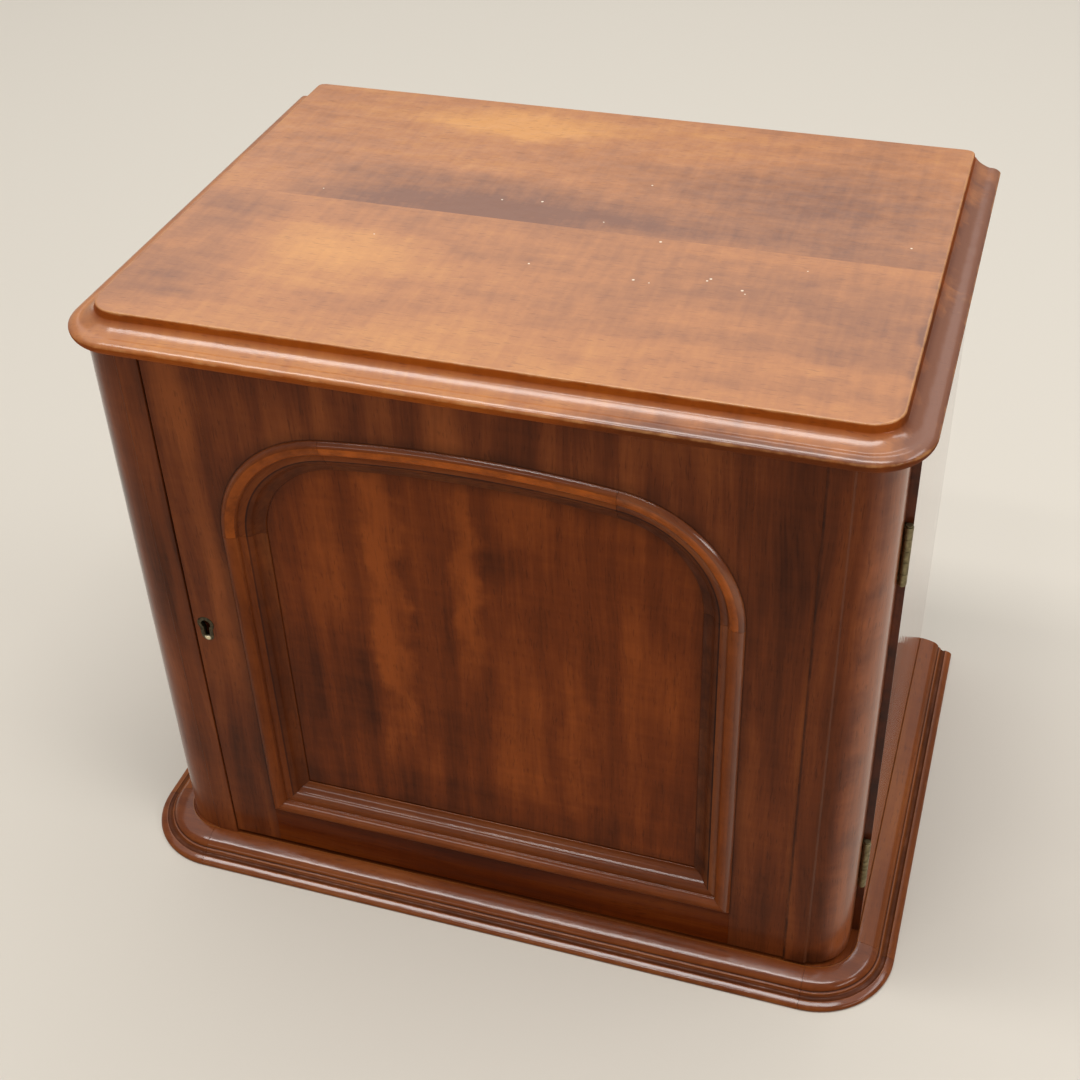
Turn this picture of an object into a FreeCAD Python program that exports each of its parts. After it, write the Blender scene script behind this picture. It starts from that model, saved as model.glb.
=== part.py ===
import FreeCAD, Part
import math
import os

# A mahogany table-top cellarette: a carcass on a moulded base, a two-board top with a moulded
# edge, and one framed door with an arched bolection moulding, a column on its hinged side and
# a cut lock on its free side.  Millimetres.  +X is to the right seen from the front, the front
# faces -Y and +Z is up.  The origin is the middle of the rectangle that the part stands on.

# --- overall sizes --------------------------------------------------------------------------
carcass_width = 424.0            # over the two side panels
carcass_depth = 298.5            # from the door's face to the back
total_height = 378.5
front_corner_radius = 25.0       # in plan, of the carcass outline at the two front corners

# --- carcass timber -------------------------------------------------------------------------
side_thickness = 12.0
bottom_thickness = 10.0
post_depth = 33.0                # the side panels start this far behind the door's face
back_thickness = 8.0
back_rebate_width = 6.0
top_rail_height = 16.0
top_rail_width = 30.0
base_rail_width = 50.0
door_stop_gap = 0.3              # between the shut door and its stops
door_stop_end_gap = 0.7          # between a stop's end and the door's column

# --- left corner post and right door column -------------------------------------------------
strip_width = 12.4               # flat strip beside each quadrant
strip_proud = 0.8                # strip stands in front of the door's face
strip_bevel = 0.8
post_width = 40.5
post_radius = 28.5
column_radius = 23.7
column_inset = 4.2               # column's outer side to the side panel's outer face

# --- top ------------------------------------------------------------------------------------
top_thickness = 17.4
top_rear_board_width = 146.5
field_rear_corner_radius = 3.5
field_inset = 9.0                # raised field's edge, inside the carcass outline
field_step_run = 1.0
field_step_drop = 4.0
hollow_run = 5.0                 # from the field's edge to the foot of the hollow
hollow_drop = 7.9
hollow_sag = 1.0
slope_sag = 0.3
top_nose_projection = 6.6
top_nose_radius = 4.0
top_nose_start_angle = 114.0     # where the slope meets the nose, degrees up from level

# --- base moulding --------------------------------------------------------------------------
base_height = 12.0
plinth_projection = 22.5
plinth_ledge = 2.6               # flat top; every run below starts at the carcass outline
plinth_dip_run = 5.4             # shallow dip between the ledge and the round
plinth_dip_drop = 1.2
plinth_dip_sag = 0.25
plinth_round_run = 12.8
plinth_round_drop = 4.7
plinth_round_sag = 1.1
plinth_quirk_run = 13.1
plinth_fillet_run = 14.2
plinth_fillet_drop = 5.8
plinth_hollow_run = 17.6
plinth_hollow_drop = 8.0
plinth_hollow_sag = 0.9
plinth_nose_drop = 10.0          # where the nose turns into the upright edge
plinth_nose_sag = 1.7
plinth_foot_inset = 0.4

# --- door -----------------------------------------------------------------------------------
door_left_gap = 0.8
door_bottom_gap = 2.5
door_top_gap = 1.5
door_back_gap = 0.5              # behind the column, in front of the right side panel
frame_thickness = 22.0
stile_left_width = 29.2          # beside the moulding's outer edge
stile_right_width = 32.2
bottom_rail_height = 27.9
crown_rail_height = 28.0         # of the top rail, above the crown of the moulding
arch_crown_radius = 640.0
arch_shoulder_radius = 73.0
panel_thickness = 8.0
panel_setback = 8.0              # panel's face behind the door's face
panel_rebate = 6.0
bead_depth = 6.0
tenon_length = 14.0
tenon_thickness = 7.0
tenon_shoulder = 3.5

# --- bolection moulding round the panel -----------------------------------------------------
moulding_width = 22.5
bead_width = 9.0
bead_proud = 2.6
quirk_depth = 1.0
quirk_width = 1.5
ovolo_end = 16.0                 # from the outer edge
ovolo_depth = 3.2
ovolo_sag = 0.55
cavetto_end = 21.4
cavetto_depth = 7.2
cavetto_sag = 1.0

# --- hinges ---------------------------------------------------------------------------------
hinge_length = 35.0
hinge_lower_margin = 58.0        # from the door's bottom edge to the hinge's middle
hinge_upper_margin = 66.5        # from the door's top edge to the hinge's middle
hinge_knuckle_radius = 2.2
hinge_knuckle_count = 5
hinge_knuckle_gap = 0.2
hinge_knuckle_clearance = 0.3
hinge_pin_radius = 1.1
hinge_pin_clearance = 0.05
hinge_pin_head_radius = 1.7
hinge_pin_head_height = 0.8
hinge_leaf_thickness = 1.2
hinge_frame_leaf_width = 10.0
hinge_door_leaf_width = 10.0
hinge_web = 1.6
hinge_screw_spacing = 13.0
hinge_screw_length = 10.0
hinge_screw_radius = 1.1
hinge_screw_head_radius = 2.1

# --- lock -----------------------------------------------------------------------------------
keyhole_rise = 171.5             # from the door's bottom edge to the keyhole's round part
keyhole_backset = 7.1            # from the door's free edge
keyhole_radius = 2.8
keyhole_slot_width = 3.2
keyhole_slot_drop = 9.0
escutcheon_depth = 3.0
escutcheon_proud = 0.3
escutcheon_round_radius = 5.1
escutcheon_tail_radius = 3.9
escutcheon_tail_drop = 7.8
lock_case_width = 16.5
lock_case_height = 45.0
lock_case_depth = 6.8
lock_wall = 1.2
lock_selvedge_thickness = 1.5
lock_plate_thickness = 1.2
lock_plate_width = 19.5
lock_plate_height = 59.0
lock_case_drop = 23.0            # from the keyhole to the bottom of the case
bolt_height = 12.0
bolt_lift = 1.8                  # bolt's lower edge above the keyhole's middle
bolt_length = 15.5
bolt_clearance = 0.15
bolt_throw = 6.0
bolt_talon_width = 4.0
bolt_talon_depth = 3.0
drill_pin_radius = 1.0
drill_pin_length = 11.0
strike_thickness = 1.2
strike_width = 16.0
strike_height = 30.0
strike_slot_clearance = 0.5
strike_mortise_depth = 9.0
lock_screw_length = 8.0
lock_screw_radius = 0.9
lock_screw_head_radius = 1.7
lock_screw_spacing = 8.0
lock_screw_margin = 3.5

# --- bottle partitions ----------------------------------------------------------------------
divider_thickness = 6.0
divider_height = 40.0
divider_rows = 3
divider_columns = 4

# --- screws that hold the back and the top --------------------------------------------------
back_screw_radius = 1.5
back_screw_head_radius = 3.0
back_screw_head_height = 1.6
back_screw_length = 18.0
back_screw_rows = 3
back_screw_end_margin = 40.0
top_screw_radius = 2.0
top_screw_head_radius = 3.8
top_screw_head_height = 2.2
top_screw_length = 26.0
top_screw_spread = 240.0

# --- planes and centres worked out from the sizes above ---------------------------------------
side_x = carcass_width / 2
inner_x = side_x - side_thickness
back_y = (carcass_depth + plinth_projection) / 2
face_y = back_y - carcass_depth
carcass_front_y = face_y + post_depth
back_inner_y = back_y - back_thickness
corner_x = side_x - front_corner_radius
corner_y = face_y + front_corner_radius
top_under_z = total_height - top_thickness
floor_z = base_height + bottom_thickness
top_rail_z = top_under_z - top_rail_height
seam_y = back_y - top_rear_board_width

post_inner_x = post_width - side_x
door_left_x = post_inner_x + door_left_gap
opening_left_x = door_left_x + stile_left_width
opening_half = -opening_left_x
stile_right_x = opening_half + stile_right_width
column_outer_x = side_x - column_inset
door_bottom_z = base_height + door_bottom_gap
door_top_z = top_under_z - door_top_gap
arch_crown_z = door_top_z - crown_rail_height
door_back_y = face_y + frame_thickness
column_back_y = carcass_front_y - door_back_gap
strip_y = face_y - strip_proud
opening_bottom_z = door_bottom_z + bottom_rail_height
panel_y = face_y + panel_setback
panel_back_y = panel_y + panel_thickness
panel_half = opening_half + panel_rebate
panel_bottom_z = opening_bottom_z - panel_rebate
panel_top_z = arch_crown_z + panel_rebate

shoulder_x = opening_half - arch_shoulder_radius
crown_centre_z = arch_crown_z - arch_crown_radius
spring_z = crown_centre_z + math.sqrt(
    (arch_crown_radius - arch_shoulder_radius) ** 2 - shoulder_x ** 2)
crown_half_angle = math.degrees(math.asin(shoulder_x / (arch_crown_radius - arch_shoulder_radius)))

hinge_x = column_outer_x + hinge_knuckle_clearance + hinge_knuckle_radius
hinge_y = carcass_front_y - hinge_knuckle_clearance - hinge_knuckle_radius
hinge_lower_z = door_bottom_z + hinge_lower_margin
hinge_upper_z = door_top_z - hinge_upper_margin
keyhole_x = door_left_x + keyhole_backset
keyhole_z = door_bottom_z + keyhole_rise
bolt_z = keyhole_z + bolt_lift
lock_plate_y = door_back_y - lock_plate_thickness
lock_case_y = lock_plate_y - lock_case_depth
lock_case_x = door_left_x + lock_selvedge_thickness
lock_case_z = keyhole_z - lock_case_drop

half_turn = 180.0
quarter_turn = 90.0
cut_margin = 5.0                 # how far a cutting shape stands past what it cuts


# --- shape helpers ----------------------------------------------------------------------------
def box(x0, x1, y0, y1, z0, z1):
    """A block between two corners."""
    return Part.makeBox(x1 - x0, y1 - y0, z1 - z0, FreeCAD.Vector(x0, y0, z0))


def outline_face(start, steps, place):
    """A face from a start point and steps (u, w, sag).

    A sag of 0 is a straight line.  A positive sag bows the line to the left of its travel.
    place turns the two section values into a point in space.
    """
    edges = []
    here = start
    for u, w, sag in steps + [(start[0], start[1], 0)]:
        run_u = u - here[0]
        run_w = w - here[1]
        run = math.hypot(run_u, run_w)
        a = place(here[0], here[1])
        b = place(u, w)
        if sag:
            middle = place(here[0] + run_u / 2 - sag * run_w / run,
                           here[1] + run_w / 2 + sag * run_u / run)
            edges.append(Part.Arc(a, middle, b).toShape())
        else:
            edges.append(Part.LineSegment(a, b).toShape())
        here = (u, w)
    return Part.Face(Part.Wire(edges))


def arc_sag(radius, angle):
    """The bow of an arc over its chord."""
    return radius * (1 - math.cos(math.radians(angle) / 2))


def moved_z(shape, z):
    """A copy of a shape, lifted by z."""
    copy = shape.copy()
    copy.translate(FreeCAD.Vector(0, 0, z))
    return copy


def joined(shapes):
    """One solid from shapes that share faces."""
    whole = shapes[0].fuse(shapes[1:])
    return whole.removeSplitter()


def screw(head, direction, length, radius, head_radius, head_height):
    """A countersunk screw: head is the middle of its flat top, direction the way it goes in."""
    cone = Part.makeCone(head_radius, radius, head_height, head, direction)
    shank_start = head + direction * head_height
    shank = Part.makeCylinder(radius, length - head_height, shank_start, direction)
    return cone.fuse(shank).removeSplitter()


def write(name, shapes):
    """Writes one node: a solid, or a group of separate solids."""
    if len(shapes) == 1:
        shape = shapes[0]
    else:
        shape = Part.makeCompound(shapes)
    shape.exportStep("parts/" + name + ".step")


# --- base -------------------------------------------------------------------------------------
def base_rail_side(side):
    """Left (-1) or right (+1) rail of the base frame, with the rounded front corner."""
    outer = side * side_x
    inner = side * (side_x - base_rail_width)
    sag = side * arc_sag(front_corner_radius, quarter_turn)
    steps = [(inner, face_y, 0), (side * corner_x, face_y, 0), (outer, corner_y, -sag),
             (outer, back_y, 0)]
    face = outline_face((inner, back_y), steps, lambda x, y: FreeCAD.Vector(x, y, 0))
    return face.extrude(FreeCAD.Vector(0, 0, base_height))


def base_rail_cross(y):
    """Front or rear rail of the base frame, between the side rails."""
    end_x = side_x - base_rail_width
    return box(-end_x, end_x, y, y + base_rail_width, 0, base_height)


def plinth_section(place):
    """Section of the base moulding: u outward from the corner's centre, w up."""
    r = front_corner_radius
    top = base_height
    steps = [
        (r + plinth_ledge, top, 0),
        (r + plinth_dip_run, top - plinth_dip_drop, -plinth_dip_sag),
        (r + plinth_round_run, top - plinth_round_drop, plinth_round_sag),
        (r + plinth_quirk_run, top - plinth_fillet_drop, 0),
        (r + plinth_fillet_run, top - plinth_fillet_drop, 0),
        (r + plinth_hollow_run, top - plinth_hollow_drop, -plinth_hollow_sag),
        (r + plinth_projection, top - plinth_nose_drop, plinth_nose_sag),
        (r + plinth_projection - plinth_foot_inset, 0, 0),
        (r, 0, 0),
    ]
    return outline_face((r, top), steps, place)


def run_front(section):
    """Extrudes a moulding section along the front, between the two corner centres."""
    face = section(lambda u, w: FreeCAD.Vector(-corner_x, corner_y - u, w))
    return face.extrude(FreeCAD.Vector(2 * corner_x, 0, 0))


def run_side(section, side, y0, y1):
    """Extrudes a moulding section along the left (-1) or right (+1) side."""
    face = section(lambda u, w: FreeCAD.Vector(side * (corner_x + u), y0, w))
    return face.extrude(FreeCAD.Vector(0, y1 - y0, 0))


def turn_corner(section, side):
    """Turns a moulding section about the left (-1) or right (+1) corner's centre."""
    centre_x = side * corner_x
    face = section(lambda u, w: FreeCAD.Vector(centre_x, corner_y - u, w))
    axis_point = FreeCAD.Vector(centre_x, corner_y, 0)
    return face.revolve(axis_point, FreeCAD.Vector(0, 0, 1), side * quarter_turn)


# --- carcass ----------------------------------------------------------------------------------
def side_panel(side):
    """A side panel with the rebate for the back boards."""
    x0, x1 = sorted((side * inner_x, side * side_x))
    panel = box(x0, x1, carcass_front_y, back_y, base_height, top_under_z)
    rebate_x = side * (inner_x + back_rebate_width)
    r0, r1 = sorted((side * (inner_x - cut_margin), rebate_x))
    rebate = box(r0, r1, back_inner_y, back_y + cut_margin, 0, total_height)
    return panel.cut(rebate)


def bottom_board():
    return box(-inner_x, inner_x, carcass_front_y, back_inner_y, base_height, floor_z)


def top_rail(y):
    return box(-inner_x, inner_x, y, y + top_rail_width, top_rail_z, top_under_z)


def back_board(side):
    x0, x1 = sorted((0, side * (inner_x + back_rebate_width)))
    return box(x0, x1, back_inner_y, back_y, base_height, top_under_z)


def door_stop(z0, z1):
    """A fillet behind the door frame, glued in front of the carcass between post and column."""
    return box(post_inner_x, stile_right_x - door_stop_end_gap,
               door_back_y + door_stop_gap, carcass_front_y, z0, z1)


def quadrant_post(side, inner, outer, radius, back, z0, z1):
    """A flat strip and a quarter-round column in one upright, drawn in plan.

    inner and outer are distances from the middle of the cabinet.
    """
    centre_x = outer - radius
    centre_y = face_y + radius
    strip_end = inner + strip_width
    turn = math.asin((strip_end + strip_bevel - centre_x) / radius)
    arc_start_y = centre_y - radius * math.cos(turn)
    sag = arc_sag(radius, quarter_turn - math.degrees(turn))
    steps = [(side * inner, strip_y, 0), (side * strip_end, strip_y, 0),
             (side * (strip_end + strip_bevel), arc_start_y, 0),
             (side * outer, centre_y, -side * sag), (side * outer, back, 0)]
    face = outline_face((side * inner, back), steps, lambda x, y: FreeCAD.Vector(x, y, z0))
    return face.extrude(FreeCAD.Vector(0, 0, z1 - z0))


def corner_post():
    """The fixed left post, with the mortise that the bolt shoots into."""
    post = quadrant_post(-1, -post_inner_x, side_x, post_radius, carcass_front_y,
                         base_height, top_under_z)
    mortise = box(post_inner_x - strike_mortise_depth, post_inner_x + cut_margin,
                  *bolt_pocket(strike_slot_clearance))
    return post.cut([mortise, strike_blank()] + strike_screws())


# --- top --------------------------------------------------------------------------------------
def top_section(place):
    """Section of the top: u outward from the corner's centre, w up."""
    edge = front_corner_radius - field_inset
    nose_u = front_corner_radius + top_nose_projection - top_nose_radius
    nose_z = top_under_z + top_nose_radius
    start = math.radians(top_nose_start_angle)
    steps = [
        (edge, total_height, 0),
        (edge + field_step_run, total_height - field_step_drop, 0),
        (edge + hollow_run, total_height - hollow_drop, -hollow_sag),
        (nose_u + top_nose_radius * math.cos(start), nose_z + top_nose_radius * math.sin(start),
         -slope_sag),
        (nose_u + top_nose_radius, nose_z, arc_sag(top_nose_radius, top_nose_start_angle)),
        (nose_u, top_under_z, arc_sag(top_nose_radius, quarter_turn)),
        (0, top_under_z, 0),
    ]
    return outline_face((0, total_height), steps, place)


def top_front_board():
    """Front board: moulded front edge, two turned corners and the start of the side edges."""
    core = box(-corner_x, corner_x, corner_y, seam_y, top_under_z, total_height)
    pieces = [core, run_front(top_section)]
    for side in (-1, 1):
        pieces.append(turn_corner(top_section, side))
        pieces.append(run_side(top_section, side, corner_y, seam_y))
    return joined(pieces).cut(top_screws())


def field_corner_cutter(side):
    """What the raised field loses at a rounded rear corner."""
    edge = side_x - field_inset
    start = edge - field_rear_corner_radius
    low = total_height - field_step_drop
    x0, x1 = sorted((side * start, side * (edge + field_step_run)))
    block = box(x0, x1, back_y - field_rear_corner_radius, back_y + cut_margin,
                low, total_height + cut_margin)
    centre = FreeCAD.Vector(side * start, back_y - field_rear_corner_radius, low)
    return block.cut(Part.makeCylinder(field_rear_corner_radius, field_step_drop + cut_margin,
                                       centre))


def top_rear_board():
    """Rear board: the side mouldings run out square at the back."""
    core = box(-corner_x, corner_x, seam_y, back_y, top_under_z, total_height)
    pieces = [core]
    for side in (-1, 1):
        pieces.append(run_side(top_section, side, seam_y, back_y))
    cuts = [field_corner_cutter(-1), field_corner_cutter(1)]
    return joined(pieces).cut(cuts + top_screws())


# --- fixings of the back and the top ------------------------------------------------------------
def back_screws():
    """Screws through the back boards into the rebates of the sides."""
    screws = []
    x = inner_x + back_rebate_width / 2
    spacing = (top_under_z - base_height - 2 * back_screw_end_margin) / (back_screw_rows - 1)
    for side in (-1, 1):
        for row in range(back_screw_rows):
            z = base_height + back_screw_end_margin + row * spacing
            head = FreeCAD.Vector(side * x, back_y, z)
            screws.append(screw(head, FreeCAD.Vector(0, -1, 0), back_screw_length,
                                back_screw_radius, back_screw_head_radius,
                                back_screw_head_height))
    return screws


def top_screws():
    """Screws up through the two top rails into the top."""
    screws = []
    for y in (carcass_front_y, back_inner_y - top_rail_width):
        for side in (-1, 1):
            head = FreeCAD.Vector(side * top_screw_spread / 2, y + top_rail_width / 2, top_rail_z)
            screws.append(screw(head, FreeCAD.Vector(0, 0, 1), top_screw_length,
                                top_screw_radius, top_screw_head_radius, top_screw_head_height))
    return screws


# --- hinges -------------------------------------------------------------------------------------
def knuckles(z, first):
    """Every second knuckle of a hinge, starting with number first, with the pin's bore."""
    pitch = hinge_length / hinge_knuckle_count
    rings = []
    for number in range(first, hinge_knuckle_count, 2):
        start_z = z - hinge_length / 2 + number * pitch + hinge_knuckle_gap / 2
        height = pitch - hinge_knuckle_gap
        at = FreeCAD.Vector(hinge_x, hinge_y, start_z)
        rings.append((at, height))
    return rings


def hinge_leaf(z, first, plate, web_x0, web_x1, web_y0, web_y1):
    """A leaf: its plate, its knuckles and the webs that join them."""
    leaf = [plate]
    for at, height in knuckles(z, first):
        leaf.append(box(web_x0, web_x1, web_y0, web_y1, at.z, at.z + height))
        leaf.append(Part.makeCylinder(hinge_knuckle_radius, height, at))
    bore = Part.makeCylinder(hinge_pin_radius + hinge_pin_clearance, hinge_length + cut_margin,
                             FreeCAD.Vector(hinge_x, hinge_y, z - hinge_length / 2))
    return joined(leaf).cut(bore)


def frame_leaf_plate(z):
    """The plate let into the front edge of the right side panel."""
    return box(side_x - hinge_frame_leaf_width, side_x, carcass_front_y,
               carcass_front_y + hinge_leaf_thickness, z - hinge_length / 2, z + hinge_length / 2)


def door_leaf_plate(z):
    """The plate let into the back of the door's column."""
    return box(column_outer_x - hinge_door_leaf_width, column_outer_x,
               column_back_y - hinge_leaf_thickness, column_back_y,
               z - hinge_length / 2, z + hinge_length / 2)


def frame_leaf(z):
    half_web = hinge_web / 2
    leaf = hinge_leaf(z, 0, frame_leaf_plate(z), hinge_x - half_web, hinge_x + half_web,
                      hinge_y + hinge_pin_radius + hinge_pin_clearance, carcass_front_y)
    return leaf.cut(frame_leaf_screws(z))


def door_leaf(z):
    web_y1 = column_back_y - hinge_leaf_thickness / 4
    leaf = hinge_leaf(z, 1, door_leaf_plate(z), column_outer_x,
                      hinge_x - hinge_pin_radius - hinge_pin_clearance, web_y1 - hinge_web, web_y1)
    return leaf.cut(door_leaf_screws(z))


def hinge_screw_row(z, x, y, direction):
    """Three screws down the middle of a plate."""
    screws = []
    for step in (-1, 0, 1):
        head = FreeCAD.Vector(x, y, z + step * hinge_screw_spacing)
        screws.append(screw(head, direction, hinge_screw_length, hinge_screw_radius,
                            hinge_screw_head_radius, hinge_leaf_thickness))
    return screws


def frame_leaf_screws(z):
    x = side_x - hinge_frame_leaf_width / 2
    return hinge_screw_row(z, x, carcass_front_y, FreeCAD.Vector(0, 1, 0))


def door_leaf_screws(z):
    x = column_outer_x - hinge_door_leaf_width / 2
    return hinge_screw_row(z, x, column_back_y, FreeCAD.Vector(0, -1, 0))


def hinge_pin(z):
    """A pin with a small head at each end."""
    low = z - hinge_length / 2
    shank = Part.makeCylinder(hinge_pin_radius, hinge_length, FreeCAD.Vector(hinge_x, hinge_y, low))
    heads = [Part.makeCylinder(hinge_pin_head_radius, hinge_pin_head_height,
                               FreeCAD.Vector(hinge_x, hinge_y, head_z))
             for head_z in (low - hinge_pin_head_height, low + hinge_length)]
    return joined([shank] + heads)


# --- lock ---------------------------------------------------------------------------------------
def bolt_pocket(clearance):
    """Y and Z limits of the space round the bolt."""
    y0 = lock_case_y + lock_wall + bolt_clearance
    y1 = lock_plate_y - bolt_clearance
    return (y0 - clearance, y1 + clearance, bolt_z - clearance, bolt_z + bolt_height + clearance)


def keyhole(y0, y1):
    """The keyhole as a cutting shape: a round and a slot below it."""
    depth = y1 - y0
    towards_back = FreeCAD.Vector(0, 1, 0)
    at = FreeCAD.Vector(keyhole_x, y0, keyhole_z)
    hole = Part.makeCylinder(keyhole_radius, depth, at, towards_back)
    half = keyhole_slot_width / 2
    slot = box(keyhole_x - half, keyhole_x + half, y0, y1,
               keyhole_z - keyhole_slot_drop, keyhole_z)
    return hole.fuse(slot)


def escutcheon_blank():
    """The outline of the brass thread escutcheon, before the keyhole is cut."""
    towards_back = FreeCAD.Vector(0, 1, 0)
    y0 = face_y - escutcheon_proud
    depth = escutcheon_depth + escutcheon_proud
    tail_z = keyhole_z - escutcheon_tail_drop
    head = Part.makeCylinder(escutcheon_round_radius, depth,
                             FreeCAD.Vector(keyhole_x, y0, keyhole_z), towards_back)
    tail = Part.makeCylinder(escutcheon_tail_radius, depth,
                             FreeCAD.Vector(keyhole_x, y0, tail_z), towards_back)
    waist = box(keyhole_x - escutcheon_tail_radius, keyhole_x + escutcheon_tail_radius,
                y0, y0 + depth, tail_z, keyhole_z)
    return joined([head, tail, waist])


def escutcheon():
    return escutcheon_blank().cut(keyhole(face_y - cut_margin, face_y + escutcheon_depth + 1))


def lock_case_blank():
    return box(lock_case_x, lock_case_x + lock_case_width, lock_case_y, lock_plate_y,
               lock_case_z, lock_case_z + lock_case_height)


def selvedge_blank():
    """The edge plate of the lock, flush with the door's free edge."""
    middle_z = lock_case_z + lock_case_height / 2
    half = lock_plate_height / 2
    return box(door_left_x, lock_case_x, lock_case_y, lock_plate_y, middle_z - half, middle_z + half)


def lock_case():
    """A shallow brass tray with its edge plate, open towards the cap plate."""
    cavity = box(lock_case_x + lock_wall, lock_case_x + lock_case_width - lock_wall,
                 lock_case_y + lock_wall, lock_plate_y + cut_margin,
                 lock_case_z + lock_wall, lock_case_z + lock_case_height - lock_wall)
    bolt_hole = box(door_left_x - cut_margin, lock_case_x + 2 * lock_wall,
                    *bolt_pocket(bolt_clearance))
    case = joined([lock_case_blank(), selvedge_blank()])
    return case.cut([cavity, bolt_hole, keyhole(lock_case_y - cut_margin, lock_plate_y)])


def lock_plate_blank():
    middle_z = lock_case_z + lock_case_height / 2
    half = lock_plate_height / 2
    return box(door_left_x, door_left_x + lock_plate_width, lock_plate_y, door_back_y,
               middle_z - half, middle_z + half)


def drill_pin():
    """The post that a piped key turns on, riveted into the cap plate."""
    return Part.makeCylinder(drill_pin_radius, drill_pin_length,
                             FreeCAD.Vector(keyhole_x, lock_plate_y, keyhole_z),
                             FreeCAD.Vector(0, -1, 0))


def lock_cap():
    """The cap plate, flush with the back of the stile, with its drill pin."""
    return joined([lock_plate_blank(), drill_pin()]).cut(lock_screws())


def lock_screws():
    screws = []
    middle_x = door_left_x + lock_plate_width / 2
    middle_z = lock_case_z + lock_case_height / 2
    reach = lock_plate_height / 2 - lock_screw_margin
    for end in (-1, 1):
        for step in (-1, 1):
            head = FreeCAD.Vector(middle_x + step * lock_screw_spacing / 2, door_back_y,
                                  middle_z + end * reach)
            screws.append(screw(head, FreeCAD.Vector(0, -1, 0), lock_screw_length,
                                lock_screw_radius, lock_screw_head_radius, lock_plate_thickness))
    return screws


def lock_bolt():
    """The bolt, drawn back, with the talon that the key's bit turns in."""
    y0, y1, z0, z1 = bolt_pocket(0)
    bolt = box(door_left_x, door_left_x + bolt_length, y0, y1, z0, z1)
    half = bolt_talon_width / 2
    talon = box(keyhole_x - half, keyhole_x + half, y0, y1, z0 - cut_margin, z0 + bolt_talon_depth)
    return bolt.cut(talon)


def strike_blank():
    """The strike plate, let into the post's inner face."""
    y0, y1, z0, z1 = bolt_pocket(0)
    middle_y = (y0 + y1) / 2
    middle_z = (z0 + z1) / 2
    return box(post_inner_x - strike_thickness, post_inner_x,
               middle_y - strike_width / 2, middle_y + strike_width / 2,
               middle_z - strike_height / 2, middle_z + strike_height / 2)


def strike_plate():
    slot = box(post_inner_x - cut_margin, post_inner_x + cut_margin,
               *bolt_pocket(strike_slot_clearance))
    return strike_blank().cut([slot] + strike_screws())


def strike_screws():
    y0, y1, z0, z1 = bolt_pocket(0)
    reach = strike_height / 2 - lock_screw_margin
    screws = []
    for end in (-1, 1):
        head = FreeCAD.Vector(post_inner_x, (y0 + y1) / 2, (z0 + z1) / 2 + end * reach)
        screws.append(screw(head, FreeCAD.Vector(-1, 0, 0), lock_screw_length,
                            lock_screw_radius, lock_screw_head_radius, strike_thickness))
    return screws


# --- door ---------------------------------------------------------------------------------------
def panel_pocket():
    """The rebate behind the door's opening, for the panel and its beads."""
    return box(-panel_half, panel_half, panel_y, door_back_y + cut_margin,
               panel_bottom_z, panel_top_z)


def tenons(z0, z1):
    """The two tenons of a rail, into the stiles."""
    y1 = panel_y + tenon_thickness
    return [box(opening_half, opening_half + tenon_length, panel_y, y1, z0, z1),
            box(-opening_half - tenon_length, -opening_half, panel_y, y1, z0, z1)]


def bottom_tenons():
    return tenons(door_bottom_z + tenon_shoulder, panel_bottom_z - tenon_shoulder)


def top_tenons():
    return tenons(panel_top_z + tenon_shoulder, door_top_z - tenon_shoulder)


def stile(x0, x1):
    """A stile, rebated for the panel and mortised for the rails."""
    blank = box(x0, x1, face_y, door_back_y, door_bottom_z, door_top_z)
    return blank.cut([panel_pocket()] + bottom_tenons() + top_tenons())


def stile_left():
    """The lock stile: cut for the escutcheon, the keyhole and the lock."""
    cuts = [escutcheon_blank(), keyhole(face_y, lock_case_y), lock_case_blank(),
            selvedge_blank(), lock_plate_blank()]
    return stile(door_left_x, opening_left_x).cut(cuts + lock_screws())


def stile_right():
    return stile(opening_half, stile_right_x)


def bottom_rail():
    blank = box(-opening_half, opening_half, face_y, door_back_y, door_bottom_z, opening_bottom_z)
    return joined([blank.cut(panel_pocket())] + bottom_tenons())


def arch_point(angle, radius, centre_x, centre_z, y):
    """A point on an arc of the arch; the angle goes up from level on the right."""
    turn = math.radians(angle)
    return FreeCAD.Vector(centre_x + radius * math.cos(turn), y,
                          centre_z + radius * math.sin(turn))


def arch_cutter():
    """The arched opening as a cutting shape, in front of the panel."""
    y = face_y - cut_margin
    low = opening_bottom_z - cut_margin
    meet = quarter_turn - crown_half_angle
    corners = [arch_point(0, arch_shoulder_radius, shoulder_x, spring_z, y),
               arch_point(meet / 2, arch_shoulder_radius, shoulder_x, spring_z, y),
               arch_point(meet, arch_shoulder_radius, shoulder_x, spring_z, y),
               arch_point(quarter_turn, arch_crown_radius, 0, crown_centre_z, y),
               arch_point(half_turn - meet, arch_shoulder_radius, -shoulder_x, spring_z, y),
               arch_point(half_turn - meet / 2, arch_shoulder_radius, -shoulder_x, spring_z, y),
               arch_point(half_turn, arch_shoulder_radius, -shoulder_x, spring_z, y)]
    foot_right = FreeCAD.Vector(opening_half, y, low)
    foot_left = FreeCAD.Vector(-opening_half, y, low)
    edges = [Part.LineSegment(foot_right, corners[0]).toShape(),
             Part.Arc(corners[0], corners[1], corners[2]).toShape(),
             Part.Arc(corners[2], corners[3], corners[4]).toShape(),
             Part.Arc(corners[4], corners[5], corners[6]).toShape(),
             Part.LineSegment(corners[6], foot_left).toShape(),
             Part.LineSegment(foot_left, foot_right).toShape()]
    face = Part.Face(Part.Wire(edges))
    return face.extrude(FreeCAD.Vector(0, frame_thickness + 2 * cut_margin, 0))


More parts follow.
